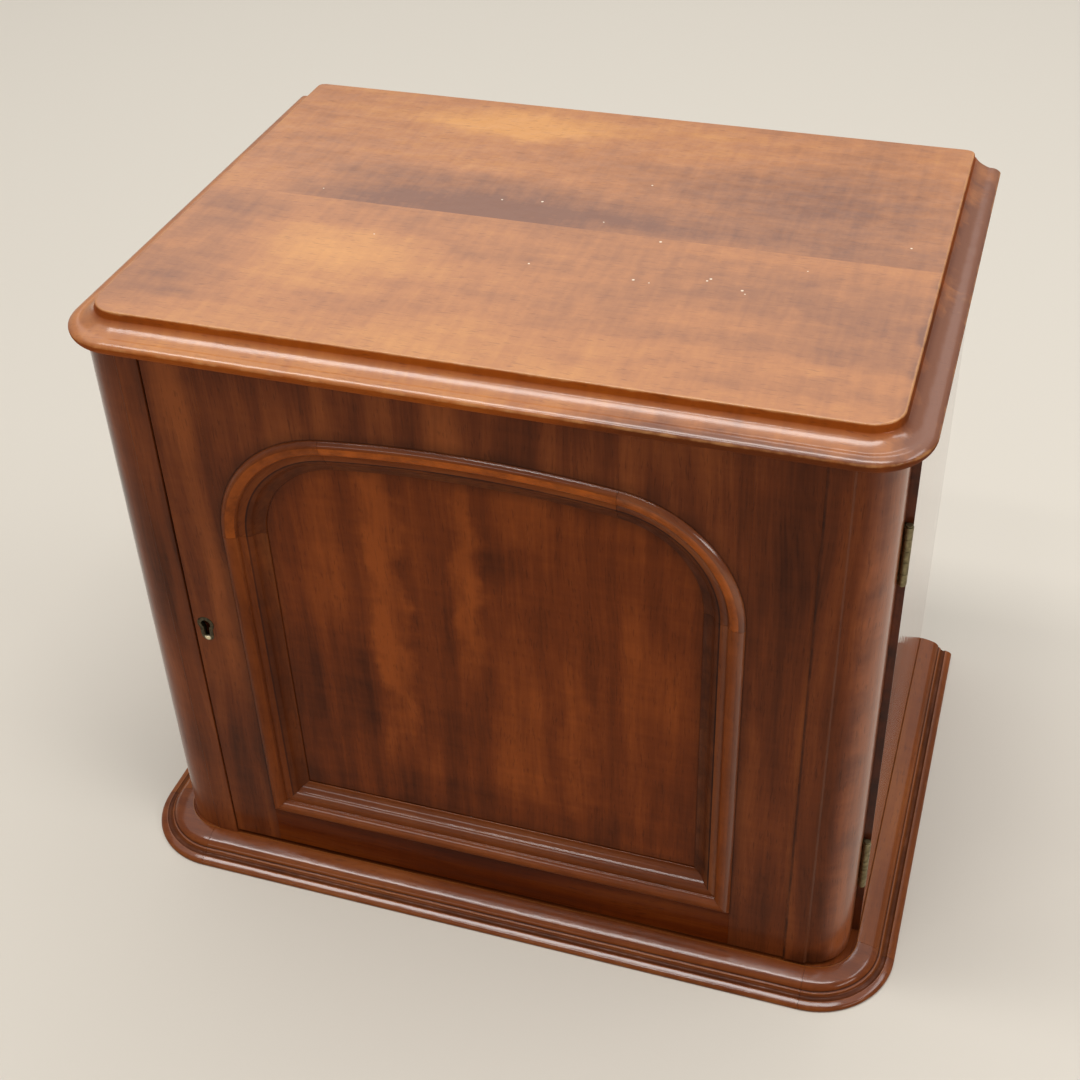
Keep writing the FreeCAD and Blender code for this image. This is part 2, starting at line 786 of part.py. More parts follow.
def top_rail_arched():
    """The top rail: full thickness above the panel, a thin arched front layer below."""
    blank = box(-opening_half, opening_half, face_y, door_back_y, spring_z, door_top_z)
    rail = blank.cut([panel_pocket(), arch_cutter()])
    return joined([rail] + top_tenons())


def door_panel():
    return box(-panel_half, panel_half, panel_y, panel_back_y, panel_bottom_z, panel_top_z)


def door_column():
    """The strip and quadrant that cover the hinged edge and swing with the door."""
    column = quadrant_post(1, stile_right_x, column_outer_x, column_radius, column_back_y,
                           door_bottom_z, door_top_z)
    cuts = []
    for z in (hinge_lower_z, hinge_upper_z):
        cuts.append(door_leaf_plate(z))
        cuts += door_leaf_screws(z)
    return column.cut(cuts)


def panel_bead(x0, x1, z0, z1):
    """A bead that holds the panel in from the back."""
    return box(x0, x1, panel_back_y, panel_back_y + bead_depth, z0, z1)


def moulding_section(place):
    """Section of the bolection moulding: u in from its outer edge, w in front of the face."""
    quirk_end = bead_width + quirk_width
    steps = [
        (bead_width, 0, bead_proud),
        (bead_width, -quirk_depth, 0),
        (quirk_end, -quirk_depth, 0),
        (ovolo_end, -ovolo_depth, ovolo_sag),
        (cavetto_end, -cavetto_depth, -cavetto_sag),
        (moulding_width, -cavetto_depth, 0),
        (moulding_width, -panel_setback, 0),
        (0, -panel_setback, 0),
    ]
    return outline_face((0, 0), steps, place)


def mitre_cutter(side):
    """What a side moulding loses to the mitre at its foot."""
    outer = side * opening_half
    inner = side * (opening_half - moulding_width)
    steps = [(inner, opening_bottom_z, 0), (inner, opening_bottom_z + moulding_width, 0)]
    face = outline_face((outer, opening_bottom_z), steps,
                        lambda x, z: FreeCAD.Vector(x, face_y - cut_margin, z))
    return face.extrude(FreeCAD.Vector(0, panel_setback + 2 * cut_margin, 0))


def moulding_side(side):
    """The upright moulding on the left (-1) or right (+1), mitred at its foot."""
    face = moulding_section(lambda u, w: FreeCAD.Vector(side * (opening_half - u), face_y - w,
                                                        opening_bottom_z))
    upright = face.extrude(FreeCAD.Vector(0, 0, spring_z - opening_bottom_z))
    return upright.cut(mitre_cutter(side))


def moulding_bottom():
    """The bottom moulding, mitred at both ends."""
    face = moulding_section(lambda u, w: FreeCAD.Vector(-opening_half, face_y - w,
                                                        opening_bottom_z + u))
    length = face.extrude(FreeCAD.Vector(2 * opening_half, 0, 0))
    keep = [mitre_cutter(-1), mitre_cutter(1),
            box(moulding_width - opening_half, opening_half - moulding_width,
                face_y - cut_margin, panel_y + cut_margin,
                opening_bottom_z, opening_bottom_z + moulding_width)]
    return length.common(joined(keep))


def moulding_arc(centre_x, centre_z, radius, start, sweep):
    """A turned length of the moulding; start and sweep go anticlockwise from the front."""
    face = moulding_section(lambda u, w: FreeCAD.Vector(centre_x + radius - u, face_y - w,
                                                        centre_z))
    centre = FreeCAD.Vector(centre_x, face_y, centre_z)
    towards_front = FreeCAD.Vector(0, -1, 0)
    face.rotate(centre, towards_front, start)
    return face.revolve(centre, towards_front, sweep)


def moulding_shoulder(side):
    sweep = quarter_turn - crown_half_angle
    if side > 0:
        start = 0
    else:
        start = half_turn - sweep
    return moulding_arc(side * shoulder_x, spring_z, arch_shoulder_radius, start, sweep)


def moulding_crown():
    return moulding_arc(0, crown_centre_z, arch_crown_radius, quarter_turn - crown_half_angle,
                        2 * crown_half_angle)


# --- bottle partitions ----------------------------------------------------------------------------
divider_top_z = floor_z + divider_height
divider_lap_z = floor_z + divider_height / 2
row_pitch = (back_inner_y - carcass_front_y) / divider_rows
column_gap = (2 * inner_x - (divider_columns - 1) * divider_thickness) / divider_columns


def cross_x(number):
    """Left face of a front-to-back partition."""
    return -inner_x + (number + 1) * column_gap + number * divider_thickness


def long_divider(row):
    """A left-to-right partition; all but the front one are notched from above."""
    y = carcass_front_y + row * row_pitch
    board = box(-inner_x, inner_x, y, y + divider_thickness, floor_z, divider_top_z)
    if row == 0:
        return board
    notches = [box(cross_x(number), cross_x(number) + divider_thickness, y - cut_margin,
                   y + divider_thickness + cut_margin, divider_lap_z, divider_top_z + cut_margin)
               for number in range(divider_columns - 1)]
    return board.cut(notches)


def cross_divider(number):
    """A front-to-back partition, notched from below over the left-to-right ones."""
    x = cross_x(number)
    board = box(x, x + divider_thickness, carcass_front_y + divider_thickness, back_inner_y,
                floor_z, divider_top_z)
    notches = [box(x - cut_margin, x + divider_thickness + cut_margin,
                   carcass_front_y + row * row_pitch,
                   carcass_front_y + row * row_pitch + divider_thickness,
                   floor_z - cut_margin, divider_lap_z)
               for row in range(1, divider_rows)]
    return board.cut(notches)


# --- the nodes --------------------------------------------------------------------------------
def write_base():
    write("base_rail_left", [base_rail_side(-1)])
    write("base_rail_right", [base_rail_side(1)])
    write("base_rail_front", [base_rail_cross(face_y)])
    write("base_rail_rear", [base_rail_cross(back_y - base_rail_width)])
    write("plinth_front", [run_front(plinth_section)])
    for name, side in (("left", -1), ("right", 1)):
        write("plinth_corner_" + name, [turn_corner(plinth_section, side)])
        write("plinth_side_" + name, [run_side(plinth_section, side, corner_y, back_y)])


def write_carcass():
    right_cuts = back_screws()
    for z in (hinge_lower_z, hinge_upper_z):
        right_cuts.append(frame_leaf_plate(z))
        right_cuts += frame_leaf_screws(z)
    write("side_left", [side_panel(-1).cut(back_screws())])
    write("side_right", [side_panel(1).cut(right_cuts)])
    write("corner_post_left", [corner_post()])
    write("bottom_board", [bottom_board()])
    write("top_rail_front", [top_rail(carcass_front_y).cut(top_screws())])
    write("top_rail_rear", [top_rail(back_inner_y - top_rail_width).cut(top_screws())])
    write("door_stop_bottom", [door_stop(base_height, floor_z)])
    write("door_stop_top", [door_stop(top_rail_z, top_under_z)])
    write("back_board_left", [back_board(-1).cut(back_screws())])
    write("back_board_right", [back_board(1).cut(back_screws())])
    write("top_board_front", [top_front_board()])
    write("top_board_rear", [top_rear_board()])
    write("back_screws", back_screws())
    write("top_screws", top_screws())


def write_hinges():
    frame_screws = []
    door_screws = []
    pins = []
    for name, z in (("lower", hinge_lower_z), ("upper", hinge_upper_z)):
        write("hinge_" + name + "_frame_leaf", [frame_leaf(z)])
        write("hinge_" + name + "_door_leaf", [door_leaf(z)])
        frame_screws += frame_leaf_screws(z)
        door_screws += door_leaf_screws(z)
        pins.append(hinge_pin(z))
    write("hinge_frame_screws", frame_screws)
    write("hinge_door_screws", door_screws)
    write("hinge_pins", pins)


def write_door():
    write("door_stile_left", [stile_left()])
    write("door_stile_right", [stile_right()])
    write("door_rail_bottom", [bottom_rail()])
    write("door_rail_top", [top_rail_arched()])
    write("door_panel", [door_panel()])
    write("door_column", [door_column()])
    write("panel_bead_left", [panel_bead(-panel_half, -opening_half, panel_bottom_z, panel_top_z)])
    write("panel_bead_right", [panel_bead(opening_half, panel_half, panel_bottom_z, panel_top_z)])
    write("panel_bead_bottom", [panel_bead(-opening_half, opening_half, panel_bottom_z,
                                           opening_bottom_z)])
    write("panel_bead_top", [panel_bead(-opening_half, opening_half, arch_crown_z,
                                        panel_top_z)])
    write("moulding_bottom", [moulding_bottom()])
    write("moulding_crown", [moulding_crown()])
    for name, side in (("left", -1), ("right", 1)):
        write("moulding_" + name, [moulding_side(side)])
        write("moulding_shoulder_" + name, [moulding_shoulder(side)])


def write_lock():
    write("escutcheon", [escutcheon()])
    write("lock_case", [lock_case()])
    write("lock_cap", [lock_cap()])
    write("lock_screws", lock_screws())
    write("lock_bolt", [lock_bolt()])
    write("strike_plate", [strike_plate()])
    write("strike_screws", strike_screws())


def write_dividers():
    for name, row in (("front", 0), ("middle", 1), ("rear", 2)):
        write("divider_" + name, [long_divider(row)])
    for name, number in (("left", 0), ("centre", 1), ("right", 2)):
        write("divider_cross_" + name, [cross_divider(number)])


os.makedirs("parts", exist_ok=True)
write_base()
write_carcass()
write_hinges()
write_door()
write_lock()
write_dividers()
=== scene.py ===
import math

import bmesh
import bpy
from mathutils import Matrix, Vector


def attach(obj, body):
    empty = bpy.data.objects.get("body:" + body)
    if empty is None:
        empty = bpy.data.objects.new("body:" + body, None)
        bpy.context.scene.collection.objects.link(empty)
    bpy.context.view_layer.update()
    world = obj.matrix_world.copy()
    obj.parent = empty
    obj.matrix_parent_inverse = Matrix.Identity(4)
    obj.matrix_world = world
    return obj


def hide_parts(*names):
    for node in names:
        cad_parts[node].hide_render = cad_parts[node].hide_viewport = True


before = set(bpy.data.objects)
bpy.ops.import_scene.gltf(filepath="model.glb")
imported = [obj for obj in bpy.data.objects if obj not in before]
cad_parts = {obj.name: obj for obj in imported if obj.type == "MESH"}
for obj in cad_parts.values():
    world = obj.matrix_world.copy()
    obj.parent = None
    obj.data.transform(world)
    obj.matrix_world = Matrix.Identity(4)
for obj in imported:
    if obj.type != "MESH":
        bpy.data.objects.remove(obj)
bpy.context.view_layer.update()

# ---- Base frame ------------------------------------------------------------------------------
# Four rails of plain mahogany, halved together under the carcass and glued.  The front ends of
# the two side rails are rounded to the cabinet's corners, and only their top face shows.

ALONG_X = (0.0, 0.0, 0.0)
ALONG_Y = (0.0, 0.0, math.radians(-90))
ALONG_Z = (0.0, math.radians(90), 0.0)


def add(tree, kind, feeds, **settings):
    """Adds a shader node; each feed is a plain value or another node's output."""
    node = tree.nodes.new("ShaderNode" + kind)
    for key, value in settings.items():
        setattr(node, key, value)
    for key, value in feeds.items():
        if isinstance(value, bpy.types.NodeSocket):
            tree.links.new(value, node.inputs[key])
        else:
            node.inputs[key].default_value = value
    return node


def reckon(tree, operation, a, b=0.0, c=0.0):
    """One sum on numbers."""
    return add(tree, "Math", {0: a, 1: b, 2: c}, operation=operation).outputs[0]


def stretched(tree, vector, amounts):
    """The place scaled by its own amount along each direction."""
    return add(tree, "VectorMath", {0: vector, 1: amounts}, operation="MULTIPLY").outputs[0]


def clouds(tree, vector, detail, roughness=0.55):
    """Soft irregular variation around a half."""
    feeds = {"Vector": vector, "Scale": 1.0, "Detail": detail, "Roughness": roughness}
    return add(tree, "TexNoise", feeds)


def eased_step(tree, value, low, high):
    """Nothing below low, all above high, and smooth between."""
    feeds = {0: value, 1: low, 2: high, 3: 0.0, 4: 1.0}
    return add(tree, "MapRange", feeds, interpolation_type="SMOOTHSTEP").outputs[0]


def blended(tree, amount, under, over, way="MIX"):
    """One colour carried towards another."""
    feeds = {0: amount, 6: under, 7: over}
    return add(tree, "Mix", feeds, data_type="RGBA", blend_type=way).outputs[2]


def shade(colour, strength):
    """A colour made darker or lighter."""
    return tuple(part * strength for part in colour[:3]) + (1.0,)


OLD_WAX_AND_SHADE = (0.022, 0.0095, 0.0075)
MOULDING_SHADE_AND_DIRT = (0.012, 0.0035, 0.0012)
UNFADED = (0.64, 0.32, 0.045)
DUST = (0.80, 0.68, 0.52)
RAGGED = 0.03


def mahogany(name, turn, seed, tones, streak=1.3, cloud=1.1, mottle=0.14, lined=0.38, blotch=0.12,
             wear=0.5, grime_and_shade=0.85, rough=0.34, sheen=0.06, coat=0.3, coat_rough=0.10, coat_ior=1.2,
             lustre=None, patches=(), flecks=(), rules=(), rubbed=(0.30, 0.105, 0.032), moulding_shade_and_dirt=None):
    """Mahogany under old polish: ribbon grain, pores, cross figure, rubbed arrises, and wax that
    darkens the hollows, partly as painted shade.

    lustre is (direction, low, high): the polish is full where the wood faces that way.  patches
    are (centre, reach, amount) areas made lighter or darker, rules are (axis, place, reach,
    amount, colour) lines along a joint or an edge, some of them painted shade, and a function
    may be given that returns the painted shade and dirt beside a moulding.
    """
    material = bpy.data.materials.new(name)
    material.use_nodes = True
    tree = material.node_tree
    tree.nodes.clear()
    place = add(tree, "TexCoord", {}).outputs["Object"]
    board = add(tree, "Mapping", {"Vector": place, "Rotation": turn, "Location": seed}).outputs[0]

    drift = clouds(tree, stretched(tree, board, (4.0, 14.0, 14.0)), 2.0).outputs["Color"]
    drift = add(tree, "VectorMath", {0: drift, 1: (0.5, 0.5, 0.5)}, operation="SUBTRACT").outputs[0]
    drift = stretched(tree, drift, (0.0, 0.022, 0.022))
    fibre = add(tree, "VectorMath", {0: board, 1: drift}, operation="ADD").outputs[0]

    ribbons = clouds(tree, stretched(tree, fibre, (4.5, 62.0, 62.0)), 4.0, 0.52).outputs[0]
    lines = clouds(tree, stretched(tree, fibre, (22.0, 620.0, 620.0)), 3.0).outputs[0]
    pores = clouds(tree, stretched(tree, fibre, (130.0, 1100.0, 1100.0)), 1.0).outputs[0]
    broad = clouds(tree, stretched(tree, board, (6.0, 15.0, 15.0)), 3.0).outputs[0]
    cross = clouds(tree, stretched(tree, board, (210.0, 26.0, 26.0)), 2.0).outputs[0]

    tone = reckon(tree, "MULTIPLY_ADD", ribbons, streak, 0.5 - streak / 2)
    tone = reckon(tree, "ADD", tone, reckon(tree, "MULTIPLY_ADD", broad, cloud, -cloud / 2))
    tone = reckon(tree, "ADD", tone, reckon(tree, "MULTIPLY_ADD", cross, mottle, -mottle / 2))
    tone = reckon(tree, "ADD", tone, reckon(tree, "MULTIPLY_ADD", lines, lined, -lined / 2))
    uneven = clouds(tree, stretched(tree, board, (60.0, 85.0, 85.0)), 5.0, 0.72).outputs[0]
    tone = reckon(tree, "ADD", tone, reckon(tree, "MULTIPLY_ADD", uneven, blotch, -blotch / 2))
    ragged = clouds(tree, stretched(tree, place, (38.0, 38.0, 38.0)), 4.0).outputs["Color"]
    ragged = stretched(tree, ragged, (RAGGED, RAGGED, RAGGED))
    ragged = add(tree, "VectorMath", {0: place, 1: ragged}, operation="ADD").outputs[0]
    for centre, reach, amount in patches:
        middle = tuple(part + RAGGED / 2 for part in centre)
        gap = add(tree, "VectorMath", {0: ragged, 1: middle}, operation="SUBTRACT").outputs[0]
        gap = stretched(tree, gap, tuple(1.0 / part for part in reach))
        gap = add(tree, "VectorMath", {0: gap}, operation="LENGTH").outputs["Value"]
        inside = eased_step(tree, gap, 1.25, 0.25)
        tone = reckon(tree, "ADD", tone, reckon(tree, "MULTIPLY", inside, amount))

    ramp = add(tree, "ValToRGB", {"Fac": tone})
    stops = ramp.color_ramp.elements
    stops[0].position, stops[0].color = 0.05, shade(tones[0], 1.0)
    stops[1].position, stops[1].color = 0.95, shade(tones[2], 1.0)
    middle_stop = stops.new(0.5)
    middle_stop.color = shade(tones[1], 1.0)
    colour = ramp.outputs["Color"]
    open_pores = eased_step(tree, pores, 0.60, 0.72)
    colour = blended(tree, reckon(tree, "MULTIPLY", open_pores, 0.28), colour, shade(tones[0], 0.6))

    rich = add(tree, "Attribute", {}, attribute_name="rich").outputs["Fac"]
    colour = blended(tree, rich, colour, shade(UNFADED, 1.0), "MULTIPLY")
    relief = add(tree, "Attribute", {}, attribute_name="relief").outputs["Fac"]
    patchy = clouds(tree, stretched(tree, place, (70.0, 70.0, 70.0)), 4.0, 0.65).outputs[0]
    edge = reckon(tree, "ADD", relief, reckon(tree, "MULTIPLY_ADD", patchy, 1.6, -0.8))
    worn = reckon(tree, "MULTIPLY", eased_step(tree, edge, 0.25, 1.0), wear)
    colour = blended(tree, worn, colour, shade(rubbed, 1.0))
    # The wax tone in the hollows is partly old wax and partly painted shade.
    hollow = reckon(tree, "SUBTRACT", reckon(tree, "MULTIPLY_ADD", patchy, 0.5, -0.25), relief)
    wax_and_shade = reckon(tree, "MULTIPLY", eased_step(tree, hollow, 0.16, 0.85), grime_and_shade)
    colour = blended(tree, wax_and_shade, colour, shade(OLD_WAX_AND_SHADE, 1.0))
    hidden = 0.0
    for axis, position, reach, amount, paint in rules:
        along = add(tree, "SeparateXYZ", {0: place}).outputs[axis]
        gap = reckon(tree, "ABSOLUTE", reckon(tree, "SUBTRACT", along, position))
        line = eased_step(tree, gap, reach, reach * 0.25)
        hidden = reckon(tree, "MAXIMUM", line, hidden)
        faded = reckon(tree, "MULTIPLY", reckon(tree, "MULTIPLY_ADD", patchy, 2.0, -0.4), amount)
        faded = reckon(tree, "MULTIPLY", line, reckon(tree, "MINIMUM", faded, amount))
        colour = blended(tree, faded, colour, shade(paint, 1.0))
    # Painted shade and dirt close along the moulding.
    if moulding_shade_and_dirt:
        colour = blended(tree, moulding_shade_and_dirt(tree, place, patchy), colour, shade(MOULDING_SHADE_AND_DIRT, 1.0))
    for centre, radius in flecks:
        gap = add(tree, "VectorMath", {0: place, 1: centre}, operation="DISTANCE").outputs["Value"]
        spot = eased_step(tree, gap, radius, radius * 0.6)
        colour = blended(tree, spot, colour, shade(DUST, 1.0))

    dull = reckon(tree, "MULTIPLY_ADD", broad, 0.16, rough - 0.08)
    dull = reckon(tree, "MULTIPLY_ADD", wax_and_shade, 0.25, dull)
    dull = reckon(tree, "MULTIPLY_ADD", rich, 0.35, dull)
    height = reckon(tree, "MULTIPLY_ADD", open_pores, -1.0, reckon(tree, "MULTIPLY", lines, 0.6))
    grain_bump = add(tree, "Bump", {"Height": height, "Strength": 0.22, "Distance": 0.0001})
    ripple = clouds(tree, stretched(tree, place, (60.0, 60.0, 60.0)), 2.0).outputs[0]
    ripple_bump = add(tree, "Bump", {"Height": ripple, "Strength": 0.35, "Distance": 0.0006})
    tree.links.new(ripple_bump.outputs[0], grain_bump.inputs["Normal"])
    surface = add(tree, "BsdfPrincipled", {
        "Base Color": colour, "Roughness": dull, "Normal": grain_bump.outputs[0],
        "Specular IOR Level": sheen, "Coat Weight": coat, "Coat Roughness": coat_rough,
        "Coat IOR": coat_ior, "Coat Normal": ripple_bump.outputs[0]})
    if lustre:
        direction, low, high = lustre
        facing = add(tree, "TexCoord", {}).outputs["Normal"]
        facing = add(tree, "VectorMath", {0: facing, 1: direction}, operation="DOT_PRODUCT")
        polish = reckon(tree, "MULTIPLY", eased_step(tree, facing.outputs["Value"], low, high), coat)
        polish = reckon(tree, "MULTIPLY", polish, reckon(tree, "SUBTRACT", 1.0, hidden))
        dead = reckon(tree, "MINIMUM", reckon(tree, "MULTIPLY", wax_and_shade, 1.6), 0.9)
        polish = reckon(tree, "MULTIPLY", polish, reckon(tree, "SUBTRACT", 1.0, dead))
        tree.links.new(polish, surface.inputs["Coat Weight"])
    output = add(tree, "OutputMaterial", {})
    tree.links.new(surface.outputs[0], output.inputs["Surface"])
    return material


def finished(node, material, arris):
    """Gives a CAD node its material and eases its sharp edges."""
    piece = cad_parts[node]
    for slot in piece.material_slots:
        slot.link = "OBJECT"
        slot.material = material
    weld = piece.modifiers.new("weld", "WELD")
    weld.merge_threshold = 0.00001
    ease = piece.modifiers.new("ease", "BEVEL")
    ease.width = arris
    ease.segments = 2
    ease.limit_method = "ANGLE"
    ease.angle_limit = math.radians(35)
    even = piece.modifiers.new("even", "WEIGHTED_NORMAL")
    even.keep_sharp = True


PLAIN_TONES = ((0.050, 0.017, 0.007), (0.125, 0.045, 0.018), (0.230, 0.095, 0.040))
CASE_TONES = ((0.034, 0.0078, 0.0023), (0.134, 0.0295, 0.0068), (0.262, 0.0665, 0.0150))

for rail, turn, seed in (("front", ALONG_X, (0.4, 0.1, 0.2)), ("left", ALONG_Y, (0.9, 0.3, 0.1)),
                         ("right", ALONG_Y, (0.2, 0.7, 0.5))):
    wood = mahogany("base_" + rail + "_mahogany", turn, seed, CASE_TONES)
    finished("base_rail_" + rail, wood, 0.0003)
plain_x = mahogany("plain_mahogany", ALONG_X, (1.3, 0.2, 0.8), PLAIN_TONES, rough=0.55, coat=0.05)
finished("base_rail_rear", plain_x, 0.0003)

# ---- Base moulding ---------------------------------------------------------------------------
# A mahogany moulding in five lengths round the front and both sides: a ledge that dips to a
# round, a quirk, a hollow and a nose.  The corners are turned, and the lengths butted and glued.

CORNER_X = 0.187
CORNER_Y = -0.113
BACK_Y = 0.1605
CORNER_R = 0.025
BASE_TOP = 0.012
JOINT = 0.00008          # half the gap left between two butted lengths
ARC_STEP = 0.0005
SOFT_TURN = math.radians(20)
ARRIS_REACH = 0.0011     # how far along the section an arris still tells


def drawn_section(start, steps, ease=0.0004, spacing=0.0009):
    """A closed moulding section as (u, w, relief) points, with its arrises eased.

    Each step is (u, w, sag); relief is near 1 on an arris and near -1 in a sharp hollow.
    """
    raw = [Vector(start)]
    for u, w, sag in steps:
        a, b = raw[-1], Vector((u, w))
        if sag:
            chord = b - a
            radius = (chord.length ** 2 / 4 + sag ** 2) / (2 * abs(sag))
            half = math.asin(min(1.0, chord.length / 2 / radius))
            if abs(sag) > radius:
                half = math.pi - half
            left = Vector((-chord.y, chord.x)).normalized() * math.copysign(1.0, sag)
            centre = (a + b) / 2 - left * (radius - abs(sag))
            count = max(3, math.ceil(2 * half * radius / ARC_STEP))
            for number in range(1, count):
                swing = -half + 2 * half * number / count
                raw.append(centre + left * radius * math.cos(swing)
                           + chord.normalized() * radius * math.sin(swing))
        raw.append(b)
    if (raw[0] - raw[-1]).length < 1e-7:
        raw.pop()
    loop = []
    for number, point in enumerate(raw):
        before = raw[number - 1]
        after = raw[(number + 1) % len(raw)]
        into, out = point - before, after - point
        if abs(into.angle_signed(out, 0.0)) < SOFT_TURN:
            loop.append(point)
            continue
        reach = min(ease, into.length * 0.45, out.length * 0.45)
        p, q = point - into.normalized() * reach, point + out.normalized() * reach
        for part in (0.0, 0.25, 0.5, 0.75, 1.0):
            loop.append(p.lerp(point, part).lerp(point.lerp(q, part), part))
    fine = []
    for number, point in enumerate(loop):
        after = loop[(number + 1) % len(loop)]
        count = max(1, math.ceil((after - point).length / spacing))
        for part in range(count):
            fine.append(point.lerp(after, part / count))
    area = sum(p.x * q.y - q.x * p.y for p, q in zip(fine, fine[1:] + fine[:1]))
    size = len(fine)
    turns = []
    for number in range(size):
        into = fine[number] - fine[number - 1]
        out = fine[(number + 1) % size] - fine[number]
        turns.append(-into.angle_signed(out, 0.0) * math.copysign(1.0, area))
    section = []
    for number, point in enumerate(fine):
        total = turns[number]
        for way in (-1, 1):
            walked, here = 0.0, number
            while walked < ARRIS_REACH:
                ahead = (here + way) % size
                walked += (fine[ahead] - fine[here]).length
                here = ahead
                if walked < ARRIS_REACH:
                    total += turns[here] * (1.0 - walked / ARRIS_REACH)
        section.append((point.x, point.y, max(-1.0, min(1.0, total))))
    return section


def new_piece(name, mesh_maker, material, body, replaced, sharp=38):
    """Turns a bmesh into a smooth piece that stands for its CAD nodes."""
    bmesh.ops.recalc_face_normals(mesh_maker, faces=mesh_maker.faces)
    for face in mesh_maker.faces:
        face.smooth = True
    for edge in mesh_maker.edges:
        if len(edge.link_faces) == 2 and edge.calc_face_angle(0.0) > math.radians(sharp):
            edge.smooth = False
    mesh = bpy.data.meshes.new(name)
    mesh_maker.to_mesh(mesh)
    mesh_maker.free()
    mesh.materials.append(material)
    piece = bpy.data.objects.new(name, mesh)
    bpy.context.scene.collection.objects.link(piece)
    even = piece.modifiers.new("even", "WEIGHTED_NORMAL")
    even.keep_sharp = True
    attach(piece, body)
    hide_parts(*replaced)


def swept(section, stations):
    """A closed section carried through its stations, with both ends closed."""
    made = bmesh.new()
    layer = made.verts.layers.float.new("relief")
    rings = []
    for station in stations:
        ring = []
        for u, w, relief in section:
            vert = made.verts.new(station(u, w))
            vert[layer] = relief
            ring.append(vert)
        rings.append(ring)
    size = len(section)
    for here, there in zip(rings, rings[1:]):
        for number in range(size):
            after = (number + 1) % size
            made.faces.new((here[number], here[after], there[after], there[number]))
    made.faces.new(list(reversed(rings[0])))
    made.faces.new(rings[-1])
    return made


def on_front(x):
    """A station on the front run."""
    return lambda u, w: Vector((x, CORNER_Y - u, w))


def on_side(side, y):
    """A station on a side run; side is -1 on the left and 1 on the right."""
    return lambda u, w: Vector((side * (CORNER_X + u), y, w))


def on_corner(side, degrees):
    """A station on a front corner, turned from the front towards the side."""
    out = Vector((side * math.sin(math.radians(degrees)), -math.cos(math.radians(degrees)), 0.0))
    return lambda u, w: Vector((side * CORNER_X, CORNER_Y, w)) + out * u


plinth_steps = [(0.0018, -0.0001, 0), (0.0097, -0.0019, 0.00024), (0.0129, -0.0047, 0.00037),
                (0.0131, -0.0057, 0), (0.0144, -0.0060, 0), (0.0176, -0.0080, -0.0009),
                (0.0186, -0.00775, 0.00015), (0.0211, -0.00872, 0.00004), (0.0225, -0.0106, 0.0003),
                (0.0221, -0.012, 0), (0.0, -0.012, 0), (0.0, 0.0, 0)]
plinth_path = [(CORNER_R + u, BASE_TOP + w, sag) for u, w, sag in plinth_steps]
# The hollow above the nose is darkened with the wax tone: partly old wax, partly painted shade.
HOLLOW_START = CORNER_R + 0.0150
HOLLOW_END = CORNER_R + 0.0181
HOLLOW_WAX_AND_SHADE = -0.62
UNDERSIDE = 0.0005
plinth_section = []
for u, w, relief in drawn_section((CORNER_R, BASE_TOP), plinth_path, ease=0.0006):
    if HOLLOW_START < u < HOLLOW_END and w > UNDERSIDE:
        relief = HOLLOW_WAX_AND_SHADE
    plinth_section.append((u, w, relief))
MOULD_TONES = ((0.055, 0.0112, 0.0026), (0.150, 0.0345, 0.0070), (0.260, 0.0740, 0.0160))
BASE_POLISH = {"streak": 1.1, "cloud": 0.7, "lined": 0.3, "coat": 1.0, "coat_rough": 0.14,
               "coat_ior": 1.5, "lustre": ((0, 0, 1), 0.45, 0.9), "grime_and_shade": 0.75, "wear": 0.35,
               "rubbed": (0.34, 0.12, 0.030)}

run = swept(plinth_section, [on_front(x) for x in (-CORNER_X + JOINT, 0.0, CORNER_X - JOINT)])
front_seed = (0.15, 0.45, 0.3)
new_piece("base_moulding_front", run,
          mahogany("base_moulding_front_polish", ALONG_X, front_seed, MOULD_TONES, **BASE_POLISH),
          "cabinet", ["plinth_front"])
TURN_START = 0.15
TURN_SWEEP = 89.7
TURN_STEPS = 24
SIDE_MOULD_TONES = ((0.075, 0.0160, 0.0024), (0.200, 0.0480, 0.0066), (0.330, 0.0980, 0.0150))
for side, end, seed in ((-1, "left", (0.7, 0.2, 0.4)), (1, "right", (0.1, 0.8, 0.6))):
    run = swept(plinth_section, [on_side(side, y) for y in (CORNER_Y + JOINT, 0.02, BACK_Y)])
    new_piece("base_moulding_" + end, run,
              mahogany("base_moulding_" + end + "_polish", ALONG_Y, seed, SIDE_MOULD_TONES,
                       **{**BASE_POLISH, "coat": 0.65, "lined": 0.12}),
              "cabinet", ["plinth_side_" + end])
    turned = [on_corner(side, TURN_START + TURN_SWEEP * step / TURN_STEPS)
              for step in range(TURN_STEPS + 1)]
    new_piece("base_corner_" + end, swept(plinth_section, turned),
              mahogany("base_corner_" + end + "_polish", ALONG_X, front_seed, MOULD_TONES,
                       **{**BASE_POLISH, "coat": 0.85}),
              "cabinet", ["plinth_corner_" + end])

# ---- Carcass ---------------------------------------------------------------------------------
# Polished mahogany sides, a bottom board and two rails under the top, with two thin back boards
# screwed into rebates.  The outside is polished; the inside and the back were only oiled.

SIDE_TONES = ((0.039, 0.0086, 0.0027), (0.161, 0.0335, 0.0083), (0.325, 0.0790, 0.0189))
